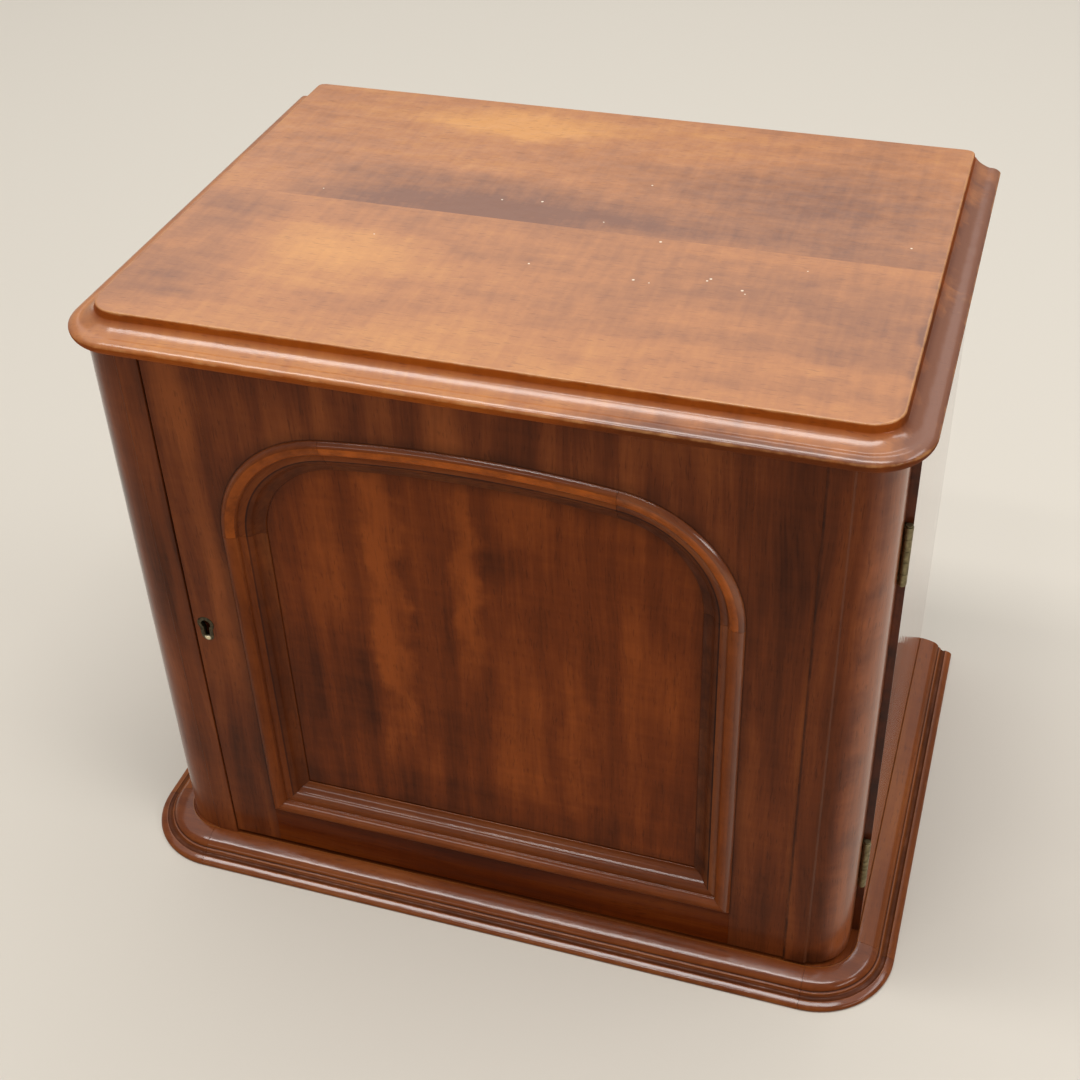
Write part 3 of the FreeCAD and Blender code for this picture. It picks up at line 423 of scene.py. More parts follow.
# Each side's rule is painted shade: it darkens the front edge where it meets the post or the column.
for side, end, seed in ((-1, "left", (0.3, 0.9, 0.2)), (1, "right", (0.8, 0.4, 0.9))):
    wood = mahogany("side_" + end + "_polish", ALONG_Z, seed, SIDE_TONES, rough=0.30, sheen=0.20,
                    coat=1.0, coat_rough=0.06, coat_ior=1.5, lustre=((side, 0, 0), 0.3, 0.9),
                    rules=[(1, -0.105, 0.0014, 0.8, (0.022, 0.009, 0.006))])
    finished("side_" + end, wood, 0.0004)
finished("bottom_board", plain_x, 0.0003)
finished("top_rail_front", plain_x, 0.0004)
finished("top_rail_rear", plain_x, 0.0004)
case_x = mahogany("door_stop_mahogany", ALONG_X, (0.6, 0.6, 0.1), CASE_TONES, rough=0.45, coat=0.2)
finished("door_stop_bottom", case_x, 0.0003)
finished("door_stop_top", case_x, 0.0003)
for end, seed in (("left", (0.5, 0.1, 0.9)), ("right", (0.9, 0.9, 0.3))):
    wood = mahogany("back_" + end + "_mahogany", ALONG_Z, seed, PLAIN_TONES, rough=0.6, coat=0.0)
    finished("back_board_" + end, wood, 0.0003)


def dull_metal(name, colour, dark, rough, glint=None):
    """Metal that has lost its lacquer: patchy brown tarnish over a worn ground.

    The last argument gives (centre, radius, colour) of a painted highlight, a bright spot on the metal.
    """
    material = bpy.data.materials.new(name)
    material.use_nodes = True
    tree = material.node_tree
    tree.nodes.clear()
    place = add(tree, "TexCoord", {}).outputs["Object"]
    stain = clouds(tree, stretched(tree, place, (420.0, 420.0, 420.0)), 4.0, 0.55).outputs[0]
    grain = clouds(tree, stretched(tree, place, (900.0, 900.0, 2600.0)), 3.0).outputs[0]
    tarnish = eased_step(tree, stain, 0.26, 0.80)
    tint = blended(tree, tarnish, shade(colour, 1.0), shade(dark, 1.0))
    if glint:
        centre, radius, glint_colour = glint
        gap = add(tree, "VectorMath", {0: place, 1: centre}, operation="DISTANCE").outputs["Value"]
        tint = blended(tree, eased_step(tree, gap, radius, radius * 0.4), tint, shade(glint_colour, 1.0))
    dull = reckon(tree, "MULTIPLY_ADD", tarnish, 0.28, rough)
    bump = add(tree, "Bump", {"Height": reckon(tree, "ADD", grain, stain), "Strength": 0.05,
                              "Distance": 0.00006})
    surface = add(tree, "BsdfPrincipled", {"Base Color": tint, "Metallic": 1.0,
                                           "Roughness": dull, "Normal": bump.outputs[0]})
    output = add(tree, "OutputMaterial", {})
    tree.links.new(surface.outputs[0], output.inputs["Surface"])
    return material


AROUND = 32


def slotted_screws(name, places, length, shank, head, depth, material, body, replaced):
    """Countersunk screws with a slot across each head; places are (head middle, way in, turn)."""
    rim = head * 0.97
    plain = 0.002
    pitch = 0.0012
    half_slot = head * 0.13
    slot_depth = depth * 0.45
    angles = [math.radians(number * 360 / AROUND) for number in range(AROUND)]
    rises = [math.sin(angle) * rim for angle in angles]
    made = bmesh.new()
    for middle, inward, turn in places:
        inward = Vector(inward)
        side = inward.orthogonal().normalized()
        across = inward.cross(side)
        spin = Matrix.Rotation(math.radians(turn), 3, inward)
        side, across = spin @ side, spin @ across
        steps = [(rim, 0.00005), (head, 0.0002), (shank, depth)]
        for number in range(int((length - depth - plain) / pitch)):
            z = depth + plain + number * pitch
            steps += [(shank * 0.78, z), (shank, z + 0.0005)]
        steps.append((shank * 0.2, length))
        rings = []
        for radius, z in steps:
            ring = []
            for angle in angles:
                point = Vector(middle) + inward * z + side * radius * math.cos(angle)
                ring.append(made.verts.new(point + across * radius * math.sin(angle)))
            rings.append(ring)
        for here, there in zip(rings, rings[1:]):
            for number in range(AROUND):
                after = (number + 1) % AROUND
                made.faces.new((here[number], here[after], there[after], there[number]))
        made.faces.new(rings[-1])
        upper = [vert for vert, rise in zip(rings[0], rises) if rise > half_slot]
        lower = [vert for vert, rise in zip(rings[0], rises) if rise < -half_slot]
        for bank, height in ((upper, half_slot), (lower, -half_slot)):
            ends = []
            for vert in (bank[-1], bank[0]):
                x = (vert.co - Vector(middle)).dot(side)
                edge = Vector(middle) + inward * 0.00005 + side * x + across * height
                ends.append((made.verts.new(edge), made.verts.new(edge + inward * slot_depth)))
            made.faces.new(bank + [ends[0][0], ends[1][0]])
            made.faces.new((ends[0][0], ends[0][1], ends[1][1], ends[1][0]))
        floor_corners = []
        for x, y in ((-0.98, -1), (0.98, -1), (0.98, 1), (-0.98, 1)):
            floor_corners.append(made.verts.new(Vector(middle) + inward * slot_depth
                                                + side * x * head + across * y * half_slot))
        made.faces.new(floor_corners)
    new_piece(name, made, material, body, replaced, sharp=30)


iron = dull_metal("blackened_iron", (0.16, 0.15, 0.14), (0.05, 0.035, 0.028), 0.42)
back_places = []
for side in (-1, 1):
    for number in range(3):
        back_places.append(((side * 0.203, BACK_Y, 0.052 + number * 0.13455), (0, -1, 0),
                            25 + 47 * number + 20 * side))
slotted_screws("back_screw_set", back_places, 0.018, 0.0015, 0.003, 0.0016, iron,
               "cabinet", ["back_screws"])
top_places = []
for y in (-0.090, 0.1375):
    for side in (-1, 1):
        top_places.append(((side * 0.120, y, 0.3451), (0, 0, 1), 35 + 60 * side + 400 * y))
slotted_screws("top_screw_set", top_places, 0.026, 0.002, 0.0038, 0.0022, iron,
               "cabinet", ["top_screws"])

# ---- Left corner post ------------------------------------------------------------------------
# A solid mahogany upright with a flat strip and a quarter-round worked on it, glued in front of
# the left side.  A brass strike plate is let into its inner face for the bolt.

POST_TONES = ((0.040, 0.0095, 0.0030), (0.158, 0.0370, 0.0095), (0.300, 0.0800, 0.0200))
post_wood = mahogany("post_polish", ALONG_Z, (0.2, 0.3, 0.7), POST_TONES, coat=1.0, coat_rough=0.12,
                     coat_ior=1.6, lustre=((-1, 0, 0), 0.35, 0.95), sheen=0.10,
                     rules=[(0, -0.1839, 0.0010, 0.4, (0.085, 0.024, 0.009))])
finished("corner_post_left", post_wood, 0.0005)
brass = dull_metal("old_brass", (0.25, 0.205, 0.110), (0.135, 0.108, 0.058), 0.36)
finished("strike_plate", brass, 0.0001)
strike_places = [((-0.1715, -0.120, 0.1938 + 0.0115 * end), (-1, 0, 0), 40 + 30 * end)
                 for end in (-1, 1)]
slotted_screws("strike_screw_set", strike_places, 0.008, 0.0009, 0.0017, 0.0012, brass,
               "cabinet", ["strike_screws"])

# ---- Bottle rack -----------------------------------------------------------------------------
# Thin mahogany partitions notched over each other, three across and three along, which keep
# twelve bottles apart.  They stand on the bottom board and are only oiled.

rack_x = mahogany("rack_long_mahogany", ALONG_X, (0.1, 0.6, 0.9), PLAIN_TONES, rough=0.5, coat=0.1)
rack_y = mahogany("rack_cross_mahogany", ALONG_Y, (0.4, 0.2, 0.6), PLAIN_TONES, rough=0.5, coat=0.1)
for row in ("front", "middle", "rear"):
    finished("divider_" + row, rack_x, 0.0006)
for column in ("left", "centre", "right"):
    finished("divider_cross_" + column, rack_y, 0.0006)

# ---- Door frame and panel --------------------------------------------------------------------
# Two stiles and two rails, tenoned together, the top one cut to the arch and faced with upright
# veneer.  A flat figured panel lies in a rebate behind them and is held by four beads.

OPEN_HALF = 0.1415
OPEN_FOOT = 0.0424
SHOULDER_X = 0.0685
SHOULDER_R = 0.073
SPRING_Z = 0.254447
CROWN_R = 0.640
CROWN_Z = -0.3084
CROWN_HALF_WIDTH = SHOULDER_X * CROWN_R / (CROWN_R - SHOULDER_R)


def arch_gap(tree, place, side, inset):
    """How far a point lies from the arched outline, which is set in by inset.

    side is 1 for wood outside the outline and -1 for wood inside it.
    """
    split = add(tree, "SeparateXYZ", {0: place})
    x = reckon(tree, "ABSOLUTE", split.outputs[0])
    z = split.outputs[2]
    across = reckon(tree, "MAXIMUM", reckon(tree, "SUBTRACT", x, SHOULDER_X), 0.0)
    rise = reckon(tree, "MAXIMUM", reckon(tree, "SUBTRACT", z, SPRING_Z), 0.0)
    around = reckon(tree, "SQRT", reckon(tree, "ADD", reckon(tree, "MULTIPLY", across, across),
                                         reckon(tree, "MULTIPLY", rise, rise)))
    around = reckon(tree, "SUBTRACT", around, SHOULDER_R - inset)
    up = reckon(tree, "SUBTRACT", z, CROWN_Z)
    over = reckon(tree, "SQRT", reckon(tree, "ADD", reckon(tree, "MULTIPLY", x, x),
                                       reckon(tree, "MULTIPLY", up, up)))
    over = reckon(tree, "SUBTRACT", over, CROWN_R - inset)
    under_crown = reckon(tree, "MULTIPLY", reckon(tree, "LESS_THAN", x, CROWN_HALF_WIDTH),
                         reckon(tree, "GREATER_THAN", z, SPRING_Z))
    outer = add(tree, "Mix", {0: under_crown, 2: around, 3: over}, data_type="FLOAT").outputs[0]
    below = reckon(tree, "SUBTRACT", OPEN_FOOT + inset, z)
    outer = reckon(tree, "MAXIMUM", outer, below)
    return reckon(tree, "MULTIPLY", outer, side)


def shade_and_dirt_beside_moulding(side, inset):
    """Painted shade in a soft band close along the arched moulding, with a thin dark line of old wax
    and dirt at its edge.
    """
    def darkness(tree, place, patchy):
        beyond = arch_gap(tree, place, side, inset)
        shadow = eased_step(tree, beyond, 0.008, 0.0)
        shadow = reckon(tree, "MULTIPLY", shadow, reckon(tree, "MULTIPLY_ADD", patchy, 0.9, 0.1))
        line = eased_step(tree, beyond, 0.0016, 0.0002)
        dark = reckon(tree, "MAXIMUM", reckon(tree, "MULTIPLY", shadow, 0.5),
                      reckon(tree, "MULTIPLY", line, 0.55))
        facing = add(tree, "TexCoord", {}).outputs["Normal"]
        forward = add(tree, "SeparateXYZ", {0: facing}).outputs[1]
        return reckon(tree, "MULTIPLY", dark, eased_step(tree, forward, -0.2, -0.6))
    return darkness


veneer_patches = [
    ((-0.160, -0.138, 0.260), (0.030, 0.05, 0.110), 0.26),
    ((-0.120, -0.138, 0.330), (0.060, 0.05, 0.035), 0.16),
    ((-0.160, -0.138, 0.090), (0.030, 0.05, 0.060), -0.15),
    ((0.115, -0.138, 0.320), (0.050, 0.05, 0.035), -0.12),
]
veneer = mahogany("door_veneer", ALONG_Z, (0.4, 0.5, 0.1), CASE_TONES, streak=1.5, lined=0.35,
                  patches=veneer_patches, moulding_shade_and_dirt=shade_and_dirt_beside_moulding(1, 0.0))
for member in ("stile_left", "stile_right", "rail_top"):
    finished("door_" + member, veneer, 0.00012)
RAIL_TONES = ((0.034, 0.0042, 0.0006), (0.102, 0.0160, 0.0010), (0.180, 0.0370, 0.0032))
finished("door_rail_bottom", mahogany("rail_bottom_polish", ALONG_X, (0.2, 0.2, 0.9), RAIL_TONES,
                                      sheen=0.04, coat=0.25, moulding_shade_and_dirt=shade_and_dirt_beside_moulding(1, 0.0)), 0.0002)
PANEL_TONES = ((0.058, 0.0124, 0.0030), (0.166, 0.0340, 0.0060), (0.305, 0.0690, 0.0115))
panel_patches = [
    ((-0.095, -0.130, 0.150), (0.035, 0.05, 0.065), -0.30),
    ((-0.052, -0.130, 0.215), (0.012, 0.05, 0.120), 0.50),
    ((-0.006, -0.130, 0.245), (0.010, 0.05, 0.070), 0.48),
    ((0.012, -0.130, 0.260), (0.020, 0.05, 0.022), -0.25),
    ((-0.020, -0.130, 0.130), (0.026, 0.05, 0.040), -0.20),
    ((0.052, -0.130, 0.150), (0.010, 0.05, 0.080), 0.20),
    ((0.085, -0.130, 0.200), (0.020, 0.05, 0.060), 0.15),
    ((0.110, -0.130, 0.100), (0.018, 0.05, 0.060), -0.20),
    ((0.000, -0.130, 0.075), (0.120, 0.05, 0.026), -0.30),
]
panel_wood = mahogany("panel_figure", ALONG_Z, (0.5, 0.3, 0.2), PANEL_TONES, streak=1.1, mottle=0.2,
                      lined=0.34, blotch=0.25, sheen=0.05, coat=0.22,
                      patches=panel_patches, moulding_shade_and_dirt=shade_and_dirt_beside_moulding(-1, 0.0225))
finished("door_panel", panel_wood, 0.0002)
for edge, turn in (("left", ALONG_Z), ("right", ALONG_Z), ("top", ALONG_X), ("bottom", ALONG_X)):
    wood = mahogany("panel_bead_" + edge + "_mahogany", turn, (0.3, 0.1, 0.5), PLAIN_TONES, coat=0.1)
    finished("panel_bead_" + edge, wood, 0.0005)

# ---- Arched moulding -------------------------------------------------------------------------
# A bolection moulding round the panel in six lengths: a bead standing proud of the frame, a
# quirk, a round and a hollow down to the panel.  It is mitred at the foot and butted at the arch.

FACE_Y = -0.138
bolection_steps = [(0.0007, 0.0012, 0.00004), (0.0034, 0.0025, 0.00035), (0.009, 0.0, 0.00075),
                   (0.009, -0.001, 0), (0.0105, -0.001, 0), (0.016, -0.0032, 0.00055),
                   (0.0214, -0.0072, -0.001), (0.0225, -0.0072, 0), (0.0225, -0.0079, 0),
                   (0.0, -0.0079, 0), (0.0, 0.0, 0)]
# (how far in from the outer edge, relief): waxed edge, chamfer, rubbed bead, quirk, round, hollow; the
# dark quirk and hollow are partly old wax and partly painted shade
wear_wax_and_shade = ((0.0001, -0.40), (0.0034, 0.10), (0.0082, 0.68), (0.0095, -0.30), (0.0132, -0.12),
                  (0.0140, -0.75), (0.0230, -0.50))
BOLECTION_BACK = -0.0075
bolection = []
for u, w, relief in drawn_section((0.0, 0.0), bolection_steps, ease=0.0005):
    if w > BOLECTION_BACK:
        relief = [value for reach, value in wear_wax_and_shade if u < reach][0]
    bolection.append((u, w, relief))


def upright(side, z, mitre):
    """A station on an upright; mitre 1 cuts it at 45 degrees, 0 square."""
    return lambda u, w: Vector((side * (OPEN_HALF - u), FACE_Y - w, z + mitre * u))


def level(side, x):
    """A station on the foot; side 1 or -1 cuts it at 45 degrees, 0 square."""
    return lambda u, w: Vector((x - side * u, FACE_Y - w, OPEN_FOOT + u))


def arched(centre_x, centre_z, radius, degrees):
    """A station on an arc, counted from the right-hand horizontal."""
    turn = math.radians(degrees)
    out = Vector((math.cos(turn), 0.0, math.sin(turn)))
    centre = Vector((centre_x, FACE_Y, centre_z))
    return lambda u, w: centre + out * (radius - u) + Vector((0.0, -w, 0.0))


def moulding_wood(name, turn, seed, strength, grime_and_shade, wear, polish=(0, 0, 1)):
    """Moulding wood: strength makes it lighter or darker; the polish is on what faces that way."""
    tones = [shade(tone, strength)[:3] for tone in MOULD_TONES]
    return mahogany(name, turn, seed, tones, streak=1.0, cloud=0.6, lined=0.3, grime_and_shade=grime_and_shade, wear=wear,
                    coat=1.0, coat_rough=0.15, coat_ior=1.5, lustre=(polish, 0.10, 0.70),
                    rubbed=(0.47, 0.108, 0.014))


half_crown = math.degrees(math.asin(SHOULDER_X / (CROWN_R - SHOULDER_R)))
meet = 90.0 - half_crown
foot = [level(1, OPEN_HALF - JOINT), level(0, 0.0), level(-1, JOINT - OPEN_HALF)]
new_piece("arch_moulding_foot", swept(bolection, foot),
          moulding_wood("arch_moulding_foot_polish", ALONG_X, (0.7, 0.1, 0.2), 1.05, 0.15, 0.1),
          "door", ["moulding_bottom"])
SHOULDER_GAP = 0.07
SHOULDER_STEPS = 28
CROWN_GAP = 0.008
right_polish = (0.55, -0.35, 0.76)
# side, name, seed, (strength, grime with painted shade, wear) of the upright and of the shoulder, way
# of the polish
arch_sides = ((-1, "left", (0.3, 0.7, 0.8), (1.25, 0.75, 0.10), (1.15, 0.90, 0.50), (0, 0, 1)),
              (1, "right", (0.8, 0.5, 0.1), (1.10, 1.00, 0.20), (1.15, 1.00, 0.75), right_polish))
for side, end, seed, upright_finish, shoulder_finish, polish in arch_sides:
    stations = [upright(side, OPEN_FOOT + JOINT, 1), upright(side, SPRING_Z - JOINT, 0)]
    new_piece("arch_moulding_" + end, swept(bolection, stations),
              moulding_wood("arch_moulding_" + end + "_polish", ALONG_Z, seed, *upright_finish, polish),
              "door", ["moulding_" + end])
    stations = []
    for step in range(SHOULDER_STEPS + 1):
        degrees = SHOULDER_GAP + (meet - 2 * SHOULDER_GAP) * step / SHOULDER_STEPS
        if side < 0:
            degrees = 180.0 - degrees
        stations.append(arched(side * SHOULDER_X, SPRING_Z, SHOULDER_R, degrees))
    wood = moulding_wood("arch_shoulder_" + end + "_polish", (0.0, math.radians(90 + 45 * side), 0.0),
                         seed, *shoulder_finish, polish)
    new_piece("arch_shoulder_" + end, swept(bolection, stations), wood, "door",
              ["moulding_shoulder_" + end])
stations = [arched(0.0, CROWN_Z, CROWN_R, 90.0 - (half_crown - CROWN_GAP) * (1 - step / 12))
            for step in range(25)]
new_piece("arch_crown", swept(bolection, stations),
          moulding_wood("arch_crown_polish", ALONG_X, (0.2, 0.9, 0.5), 1.25, 0.95, 0.95),
          "door", ["moulding_crown"])

# ---- Door column -----------------------------------------------------------------------------
# The right-hand strip and quarter-round, worked like the post but glued to the door, so that it
# swings with it and hides the hinged edge.

# The first patch is a painted highlight that lightens the outer part of the quarter-round; the second
# patch darkens the column's foot.
column_wood = mahogany("column_polish", ALONG_Z, (0.7, 0.8, 0.3), CASE_TONES, cloud=0.5, coat=0.8,
                       coat_rough=0.20, coat_ior=1.45, lustre=((1, 0, 0), 0.25, 0.85), sheen=0.10,
                       patches=[((0.2085, -0.125, 0.190), (0.013, 0.05, 0.400), 0.42),
                                ((0.2000, -0.125, 0.012), (0.035, 0.05, 0.016), -0.40)],
                       rules=[(0, 0.1741, 0.0013, 0.8, (0.012, 0.004, 0.002)),
                              (0, 0.1864, 0.0012, 0.5, (0.13, 0.045, 0.020))])
finished("door_column", column_wood, 0.0005)

# ---- Hinges ----------------------------------------------------------------------------------
# Two 35 mm brass butts with five knuckles, let into the side's front edge and the column's back,
# each leaf held by three countersunk brass screws.

for level_name in ("lower", "upper"):
    for leaf in ("frame", "door"):
        finished("hinge_" + level_name + "_" + leaf + "_leaf", brass, 0.0002)
finished("hinge_pins", brass, 0.0002)
frame_places = []
door_places = []
for middle_z in (0.0725, 0.2931):
    for step in (-1, 0, 1):
        z = middle_z + 0.013 * step
        frame_places.append(((0.207, -0.105, z), (0, 1, 0), 30 + 55 * step))
        door_places.append(((0.2028, -0.1055, z), (0, -1, 0), 75 + 40 * step))
slotted_screws("hinge_frame_screw_set", frame_places, 0.010, 0.0011, 0.0021, 0.0012, brass,
               "cabinet", ["hinge_frame_screws"])
slotted_screws("hinge_door_screw_set", door_places, 0.010, 0.0011, 0.0021, 0.0012, brass,
               "door", ["hinge_door_screws"])

# ---- Lock ------------------------------------------------------------------------------------
# A cut cupboard lock let into the back of the lock stile, with a brass bolt, and a small brass
# thread escutcheon set into the face round the keyhole.

for piece in ("lock_case", "lock_cap"):
    finished(piece, brass, 0.0002)
finished("lock_bolt", brass, 0.0003)
# The escutcheon carries a painted highlight, a bright spot low on its ring.
dark_brass = dull_metal("escutcheon_brass", (0.105, 0.085, 0.050), (0.030, 0.022, 0.014), 0.42,
                        ((-0.1636, -0.1383, 0.1765), 0.0024, (0.80, 0.70, 0.48)))
finished("escutcheon", dark_brass, 0.0003)
lock_places = []
for end in (-1, 1):
    for step in (-1, 1):
        lock_places.append(((-0.16095 + 0.004 * step, -0.116, 0.1855 + 0.026 * end), (0, -1, 0),
                            20 + 35 * step + 25 * end))
slotted_screws("lock_screw_set", lock_places, 0.008, 0.0009, 0.0017, 0.0012, brass,
               "door", ["lock_screws"])

# ---- Top -------------------------------------------------------------------------------------
# Two solid mahogany boards glued along their length, with a raised field and a hollow and nose
# worked on the front and both sides.  The polish has faded to orange-brown and carries flecks.

TOP_Z = 0.3785
TOP_UNDER = 0.3611
SEAM_Y = 0.014
BOARD_U = 0.006
FIELD_U = 0.016
FIELD_CORNER_R = 0.0035
STEP_FOOT = TOP_Z - 0.004
NOSE_Z = TOP_Z - 0.0123
top_loop = drawn_section((BOARD_U, TOP_Z), [
    (FIELD_U, TOP_Z, 0), (0.017, STEP_FOOT, 0), (0.0200, TOP_Z - 0.00695, -0.00025),
    (0.0240, TOP_Z - 0.00895, -0.0001), (0.0264, TOP_Z - 0.0093, -0.00013),
    (0.03108, TOP_Z - 0.0111, 0.00046), (0.0316, TOP_Z - 0.01227, 0.00014),
    (0.0276, TOP_UNDER, 0.00112), (BOARD_U, TOP_UNDER, 0), (BOARD_U, TOP_Z, 0)], ease=0.0009)
low = min(range(len(top_loop)), key=lambda n: (top_loop[n][1], top_loop[n][0]))
edge_line = [point for point in top_loop[:low + 1] if point[0] > 0.0085]
edge_line = [(BOARD_U, TOP_Z, 0.0)] + edge_line + [(BOARD_U, TOP_UNDER, 0.0)]
top_section = []
for number, (u, w, relief) in enumerate(edge_line):
    # The underside of the nose takes some of the wax tone, as painted shade under the nose.
    if w < NOSE_Z:
        relief = -0.20
    before = edge_line[max(0, number - 1)]
    after = edge_line[min(len(edge_line) - 1, number + 1)]
    fall = math.degrees(math.atan2(before[1] - after[1], after[0] - before[0]))
    unfaded = 0.2 + 0.8 * max(0.0, min(1.0, (fall - 30.0) / 30.0))
    top_section.append((u, w, relief, unfaded if u > FIELD_U - 0.0002 else 0.0))


def moulded_board(name, chains, material, replaced):
    """A board whose edge section runs through its chains of stations."""
    made = bmesh.new()
    layer = made.verts.layers.float.new("relief")
    richer = made.verts.layers.float.new("rich")
    runs = []
    for chain in chains:
        rings = []
        for station in chain:
            ring = []
            for u, w, relief, unfaded in top_section:
                vert = made.verts.new(station(u, w))
                vert[layer] = relief
                vert[richer] = unfaded
                ring.append(vert)
            rings.append(ring)
        for here, there in zip(rings, rings[1:]):
            for a, b, c, d in zip(here, here[1:], there[1:], there):
                made.faces.new((a, b, c, d))
        runs.append(rings)
    made.faces.new([ring[0] for rings in runs for ring in rings])
    made.faces.new(list(reversed([ring[-1] for rings in runs for ring in rings])))
    for number, rings in enumerate(runs):
        following = runs[(number + 1) % len(runs)][0]
        made.faces.new(rings[-1] + list(reversed(following)))
    new_piece(name, made, material, "cabinet", replaced)


def rear_corner(side, y):
    """A side station near the back, where the raised field's corner is rounded."""
    past = max(0.0, y - (BACK_Y - FIELD_CORNER_R))
    drawn_in = FIELD_CORNER_R - math.sqrt(max(0.0, FIELD_CORNER_R ** 2 - past ** 2))

    def station(u, w):
        if w > STEP_FOOT + 0.0003 and u > 0.008:
            u -= drawn_in
        return Vector((side * (CORNER_X + u), y, w))
    return station


TOP_TURN = 90 / TURN_STEPS
front_chain = [on_side(-1, SEAM_Y), on_side(-1, -0.05)]
front_chain += [on_corner(-1, 90 - TOP_TURN * step) for step in range(TURN_STEPS)]
front_chain += [on_front(-CORNER_X), on_front(0.0), on_front(CORNER_X)]
front_chain += [on_corner(1, TOP_TURN * (step + 1)) for step in range(TURN_STEPS)]
front_chain += [on_side(1, -0.05), on_side(1, SEAM_Y)]
back_ys = [SEAM_Y, 0.09]
back_ys += [BACK_Y - FIELD_CORNER_R * math.cos(math.radians(step * 11.25)) for step in range(9)]
left_chain = [rear_corner(-1, y) for y in reversed(back_ys)]
right_chain = [rear_corner(1, y) for y in back_ys]

TOP_TONES = ((0.205, 0.080, 0.043), (0.435, 0.173, 0.064), (0.620, 0.280, 0.082))
# The last two front patches and the last rear patch darken the right half of the front edge and the
# right-hand end: painted shade, over darker end grain on the end.
front_patches = [
    ((-0.105, -0.035, TOP_Z), (0.055, 0.030, 0.05), 0.22),
    ((-0.120, -0.080, TOP_Z), (0.060, 0.025, 0.05), 0.04),
    ((0.120, -0.050, TOP_Z), (0.110, 0.080, 0.05), -0.18),
    ((-0.180, -0.050, TOP_Z), (0.050, 0.080, 0.05), -0.30),
    ((0.125, -0.147, 0.366), (0.100, 0.016, 0.03), -0.55),
    ((0.216, -0.060, 0.366), (0.016, 0.120, 0.03), -0.70),
]
rear_patches = [
    ((-0.050, 0.020, TOP_Z), (0.125, 0.050, 0.05), -0.44),
    ((-0.060, 0.130, TOP_Z), (0.075, 0.022, 0.05), 0.38),
    ((0.120, 0.050, TOP_Z), (0.110, 0.080, 0.05), -0.20),
    ((0.165, 0.120, TOP_Z), (0.040, 0.050, 0.05), -0.06),
    ((-0.170, 0.110, TOP_Z), (0.040, 0.050, 0.05), -0.06),
    ((0.216, 0.080, 0.366), (0.016, 0.120, 0.03), -0.60),
]
fleck_spots = [(-0.1398, 0.0242), (-0.0381, 0.0358), (-0.0159, 0.0390), (0.0233, 0.0242),
               (0.0371, 0.0729), (0.0582, 0.0104), (-0.0911, -0.0192), (-0.0011, -0.0292),
               (0.0551, -0.0319), (0.0635, -0.0329), (0.0911, -0.0235), (0.1101, -0.0287),
               (0.1377, -0.0012), (0.1843, 0.0358), (0.0925, -0.0212), (0.1122, -0.0318)]
flecks = []
for number, (x, y) in enumerate(fleck_spots):
    flecks.append(((x, y, TOP_Z), 0.0005 + 0.00018 * (number % 3)))
top_finish = {"streak": 0.5, "cloud": 0.8, "mottle": 0.3, "lined": 0.11, "blotch": 0.5,
              "rough": 0.38, "sheen": 0.12, "coat": 1.0, "coat_rough": 0.17, "coat_ior": 1.5,
              "lustre": ((0, 0, 1), 0.30, 0.80), "grime_and_shade": 0.45, "wear": 0.55,
              "rubbed": (0.62, 0.30, 0.11)}
front_wood = mahogany("top_front_polish", ALONG_X, (0.1, 0.2, 0.4), TOP_TONES, patches=front_patches,
                      flecks=flecks, **top_finish)
rear_wood = mahogany("top_rear_polish", ALONG_X, (0.8, 0.65, 0.1), TOP_TONES, patches=rear_patches,
                     flecks=flecks, **top_finish)
moulded_board("top_front", [front_chain], front_wood, ["top_board_front"])
moulded_board("top_rear", [left_chain, right_chain], rear_wood, ["top_board_rear"])

# ---- Floor, light and camera -----------------------------------------------------------------
# A plain pale floor that fills the view, a soft even sky, a large ceiling light behind, a long
# tube overhead, and five small lamps that draw thin lines of light along the mouldings.

floor_maker = bmesh.new()
bmesh.ops.create_grid(floor_maker, x_segments=8, y_segments=8, size=4.0)
floor_mesh = bpy.data.meshes.new("floor")
floor_maker.to_mesh(floor_mesh)
floor_maker.free()
floor = bpy.data.objects.new("floor", floor_mesh)
bpy.context.scene.collection.objects.link(floor)
floor_paint = bpy.data.materials.new("floor_paint")
floor_paint.use_nodes = True
floor_shader = floor_paint.node_tree.nodes["Principled BSDF"]
floor_shader.inputs["Base Color"].default_value = (0.64, 0.595, 0.525, 1.0)
floor_shader.inputs["Roughness"].default_value = 0.9
floor_mesh.materials.append(floor_paint)

world = bpy.data.worlds.new("soft_sky")
world.use_nodes = True
sky = world.node_tree
sky.nodes.clear()
seen = add(sky, "LightPath", {}).outputs["Is Camera Ray"]
tint = blended(sky, seen, (1.0, 0.985, 0.96, 1.0), (0.80, 0.77, 0.72, 1.0))
ground = add(sky, "Background", {"Color": tint, "Strength": 0.25})
sky_out = add(sky, "OutputWorld", {})
sky.links.new(ground.outputs[0], sky_out.inputs["Surface"])
bpy.context.scene.world = world


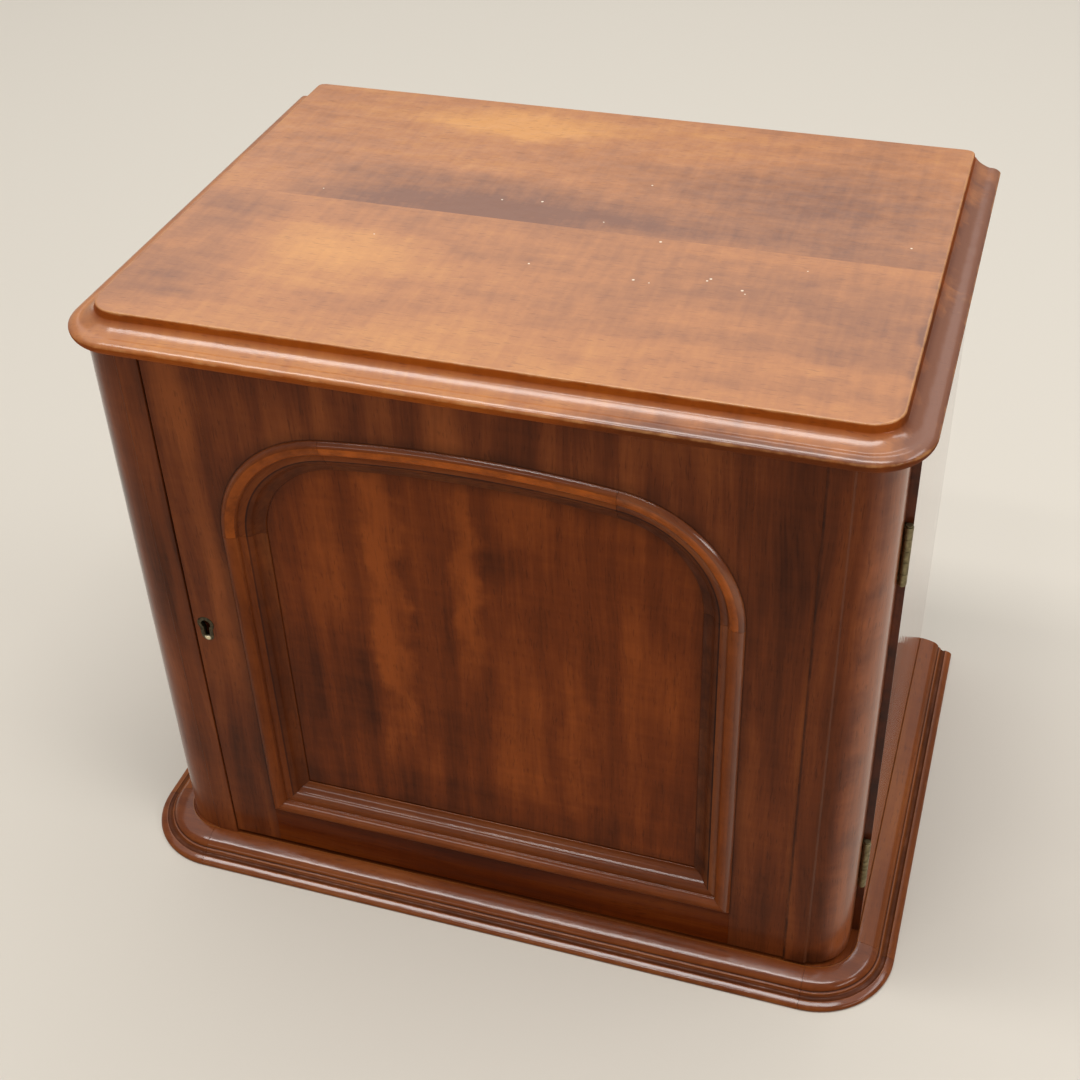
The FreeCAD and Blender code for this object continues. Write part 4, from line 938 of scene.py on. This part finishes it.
def soft_lamp(name, place, target, width, height, power, colour):
    """An oblong lamp turned towards a point."""
    lamp = bpy.data.lights.new(name, "AREA")
    lamp.shape = "RECTANGLE"
    lamp.size = width
    lamp.size_y = height
    lamp.energy = power
    lamp.color = colour
    holder = bpy.data.objects.new(name, lamp)
    holder.location = place
    holder.rotation_euler = (Vector(target) - Vector(place)).to_track_quat("-Z", "Y").to_euler()
    bpy.context.scene.collection.objects.link(holder)


soft_lamp("ceiling_light", (-0.5, 2.6, 3.2), (-0.5, 2.6, 0.0), 6.5, 6.5, 101.5, (1.0, 0.985, 0.96))
soft_lamp("long_tube", (-0.3, -0.38, 3.0), (-0.3, -0.38, 0.0), 3.0, 0.5, 48.0, (1.0, 0.99, 0.97))
soft_lamp("short_tube", (-0.42, -0.92, 2.5), (-0.42, -0.92, 0.0), 0.6, 0.13, 5.5, (1.0, 0.99, 0.97))
soft_lamp("side_tube", (1.9, 0.5, 2.1), (1.9, 0.5, 0.0), 0.6, 1.4, 13.0, (0.97, 0.98, 1.0))
soft_lamp("rear_tube", (0.15, 1.9, 3.0), (0.15, 1.9, 0.0), 1.1, 0.5, 8.0, (0.93, 0.97, 1.0))
soft_lamp("near_lamp", (1.85, -0.95, 0.98), (0.1, -0.14, 0.3), 1.0, 0.35, 8.0, (1.0, 0.98, 0.94))
soft_lamp("window", (-1.2, -3.2, 1.25), (0.0, 0.0, 0.3), 1.2, 0.4, 7.0, (1.0, 0.99, 0.98))

camera_data = bpy.data.cameras.new("camera")
camera_data.sensor_width = 36.0
camera_data.lens = 54.46
camera_data.shift_x = -0.0058
camera_data.shift_y = -0.0142
camera = bpy.data.objects.new("camera", camera_data)
camera.location = (0.24741, -0.73188, 0.78409)
camera.rotation_mode = "QUATERNION"
camera.rotation_quaternion = (0.887599, 0.433461, 0.081797, 0.132623)
bpy.context.scene.collection.objects.link(camera)
bpy.context.scene.camera = camera
bpy.context.scene.view_settings.view_transform = "Standard"

bpy.context.view_layer.update()
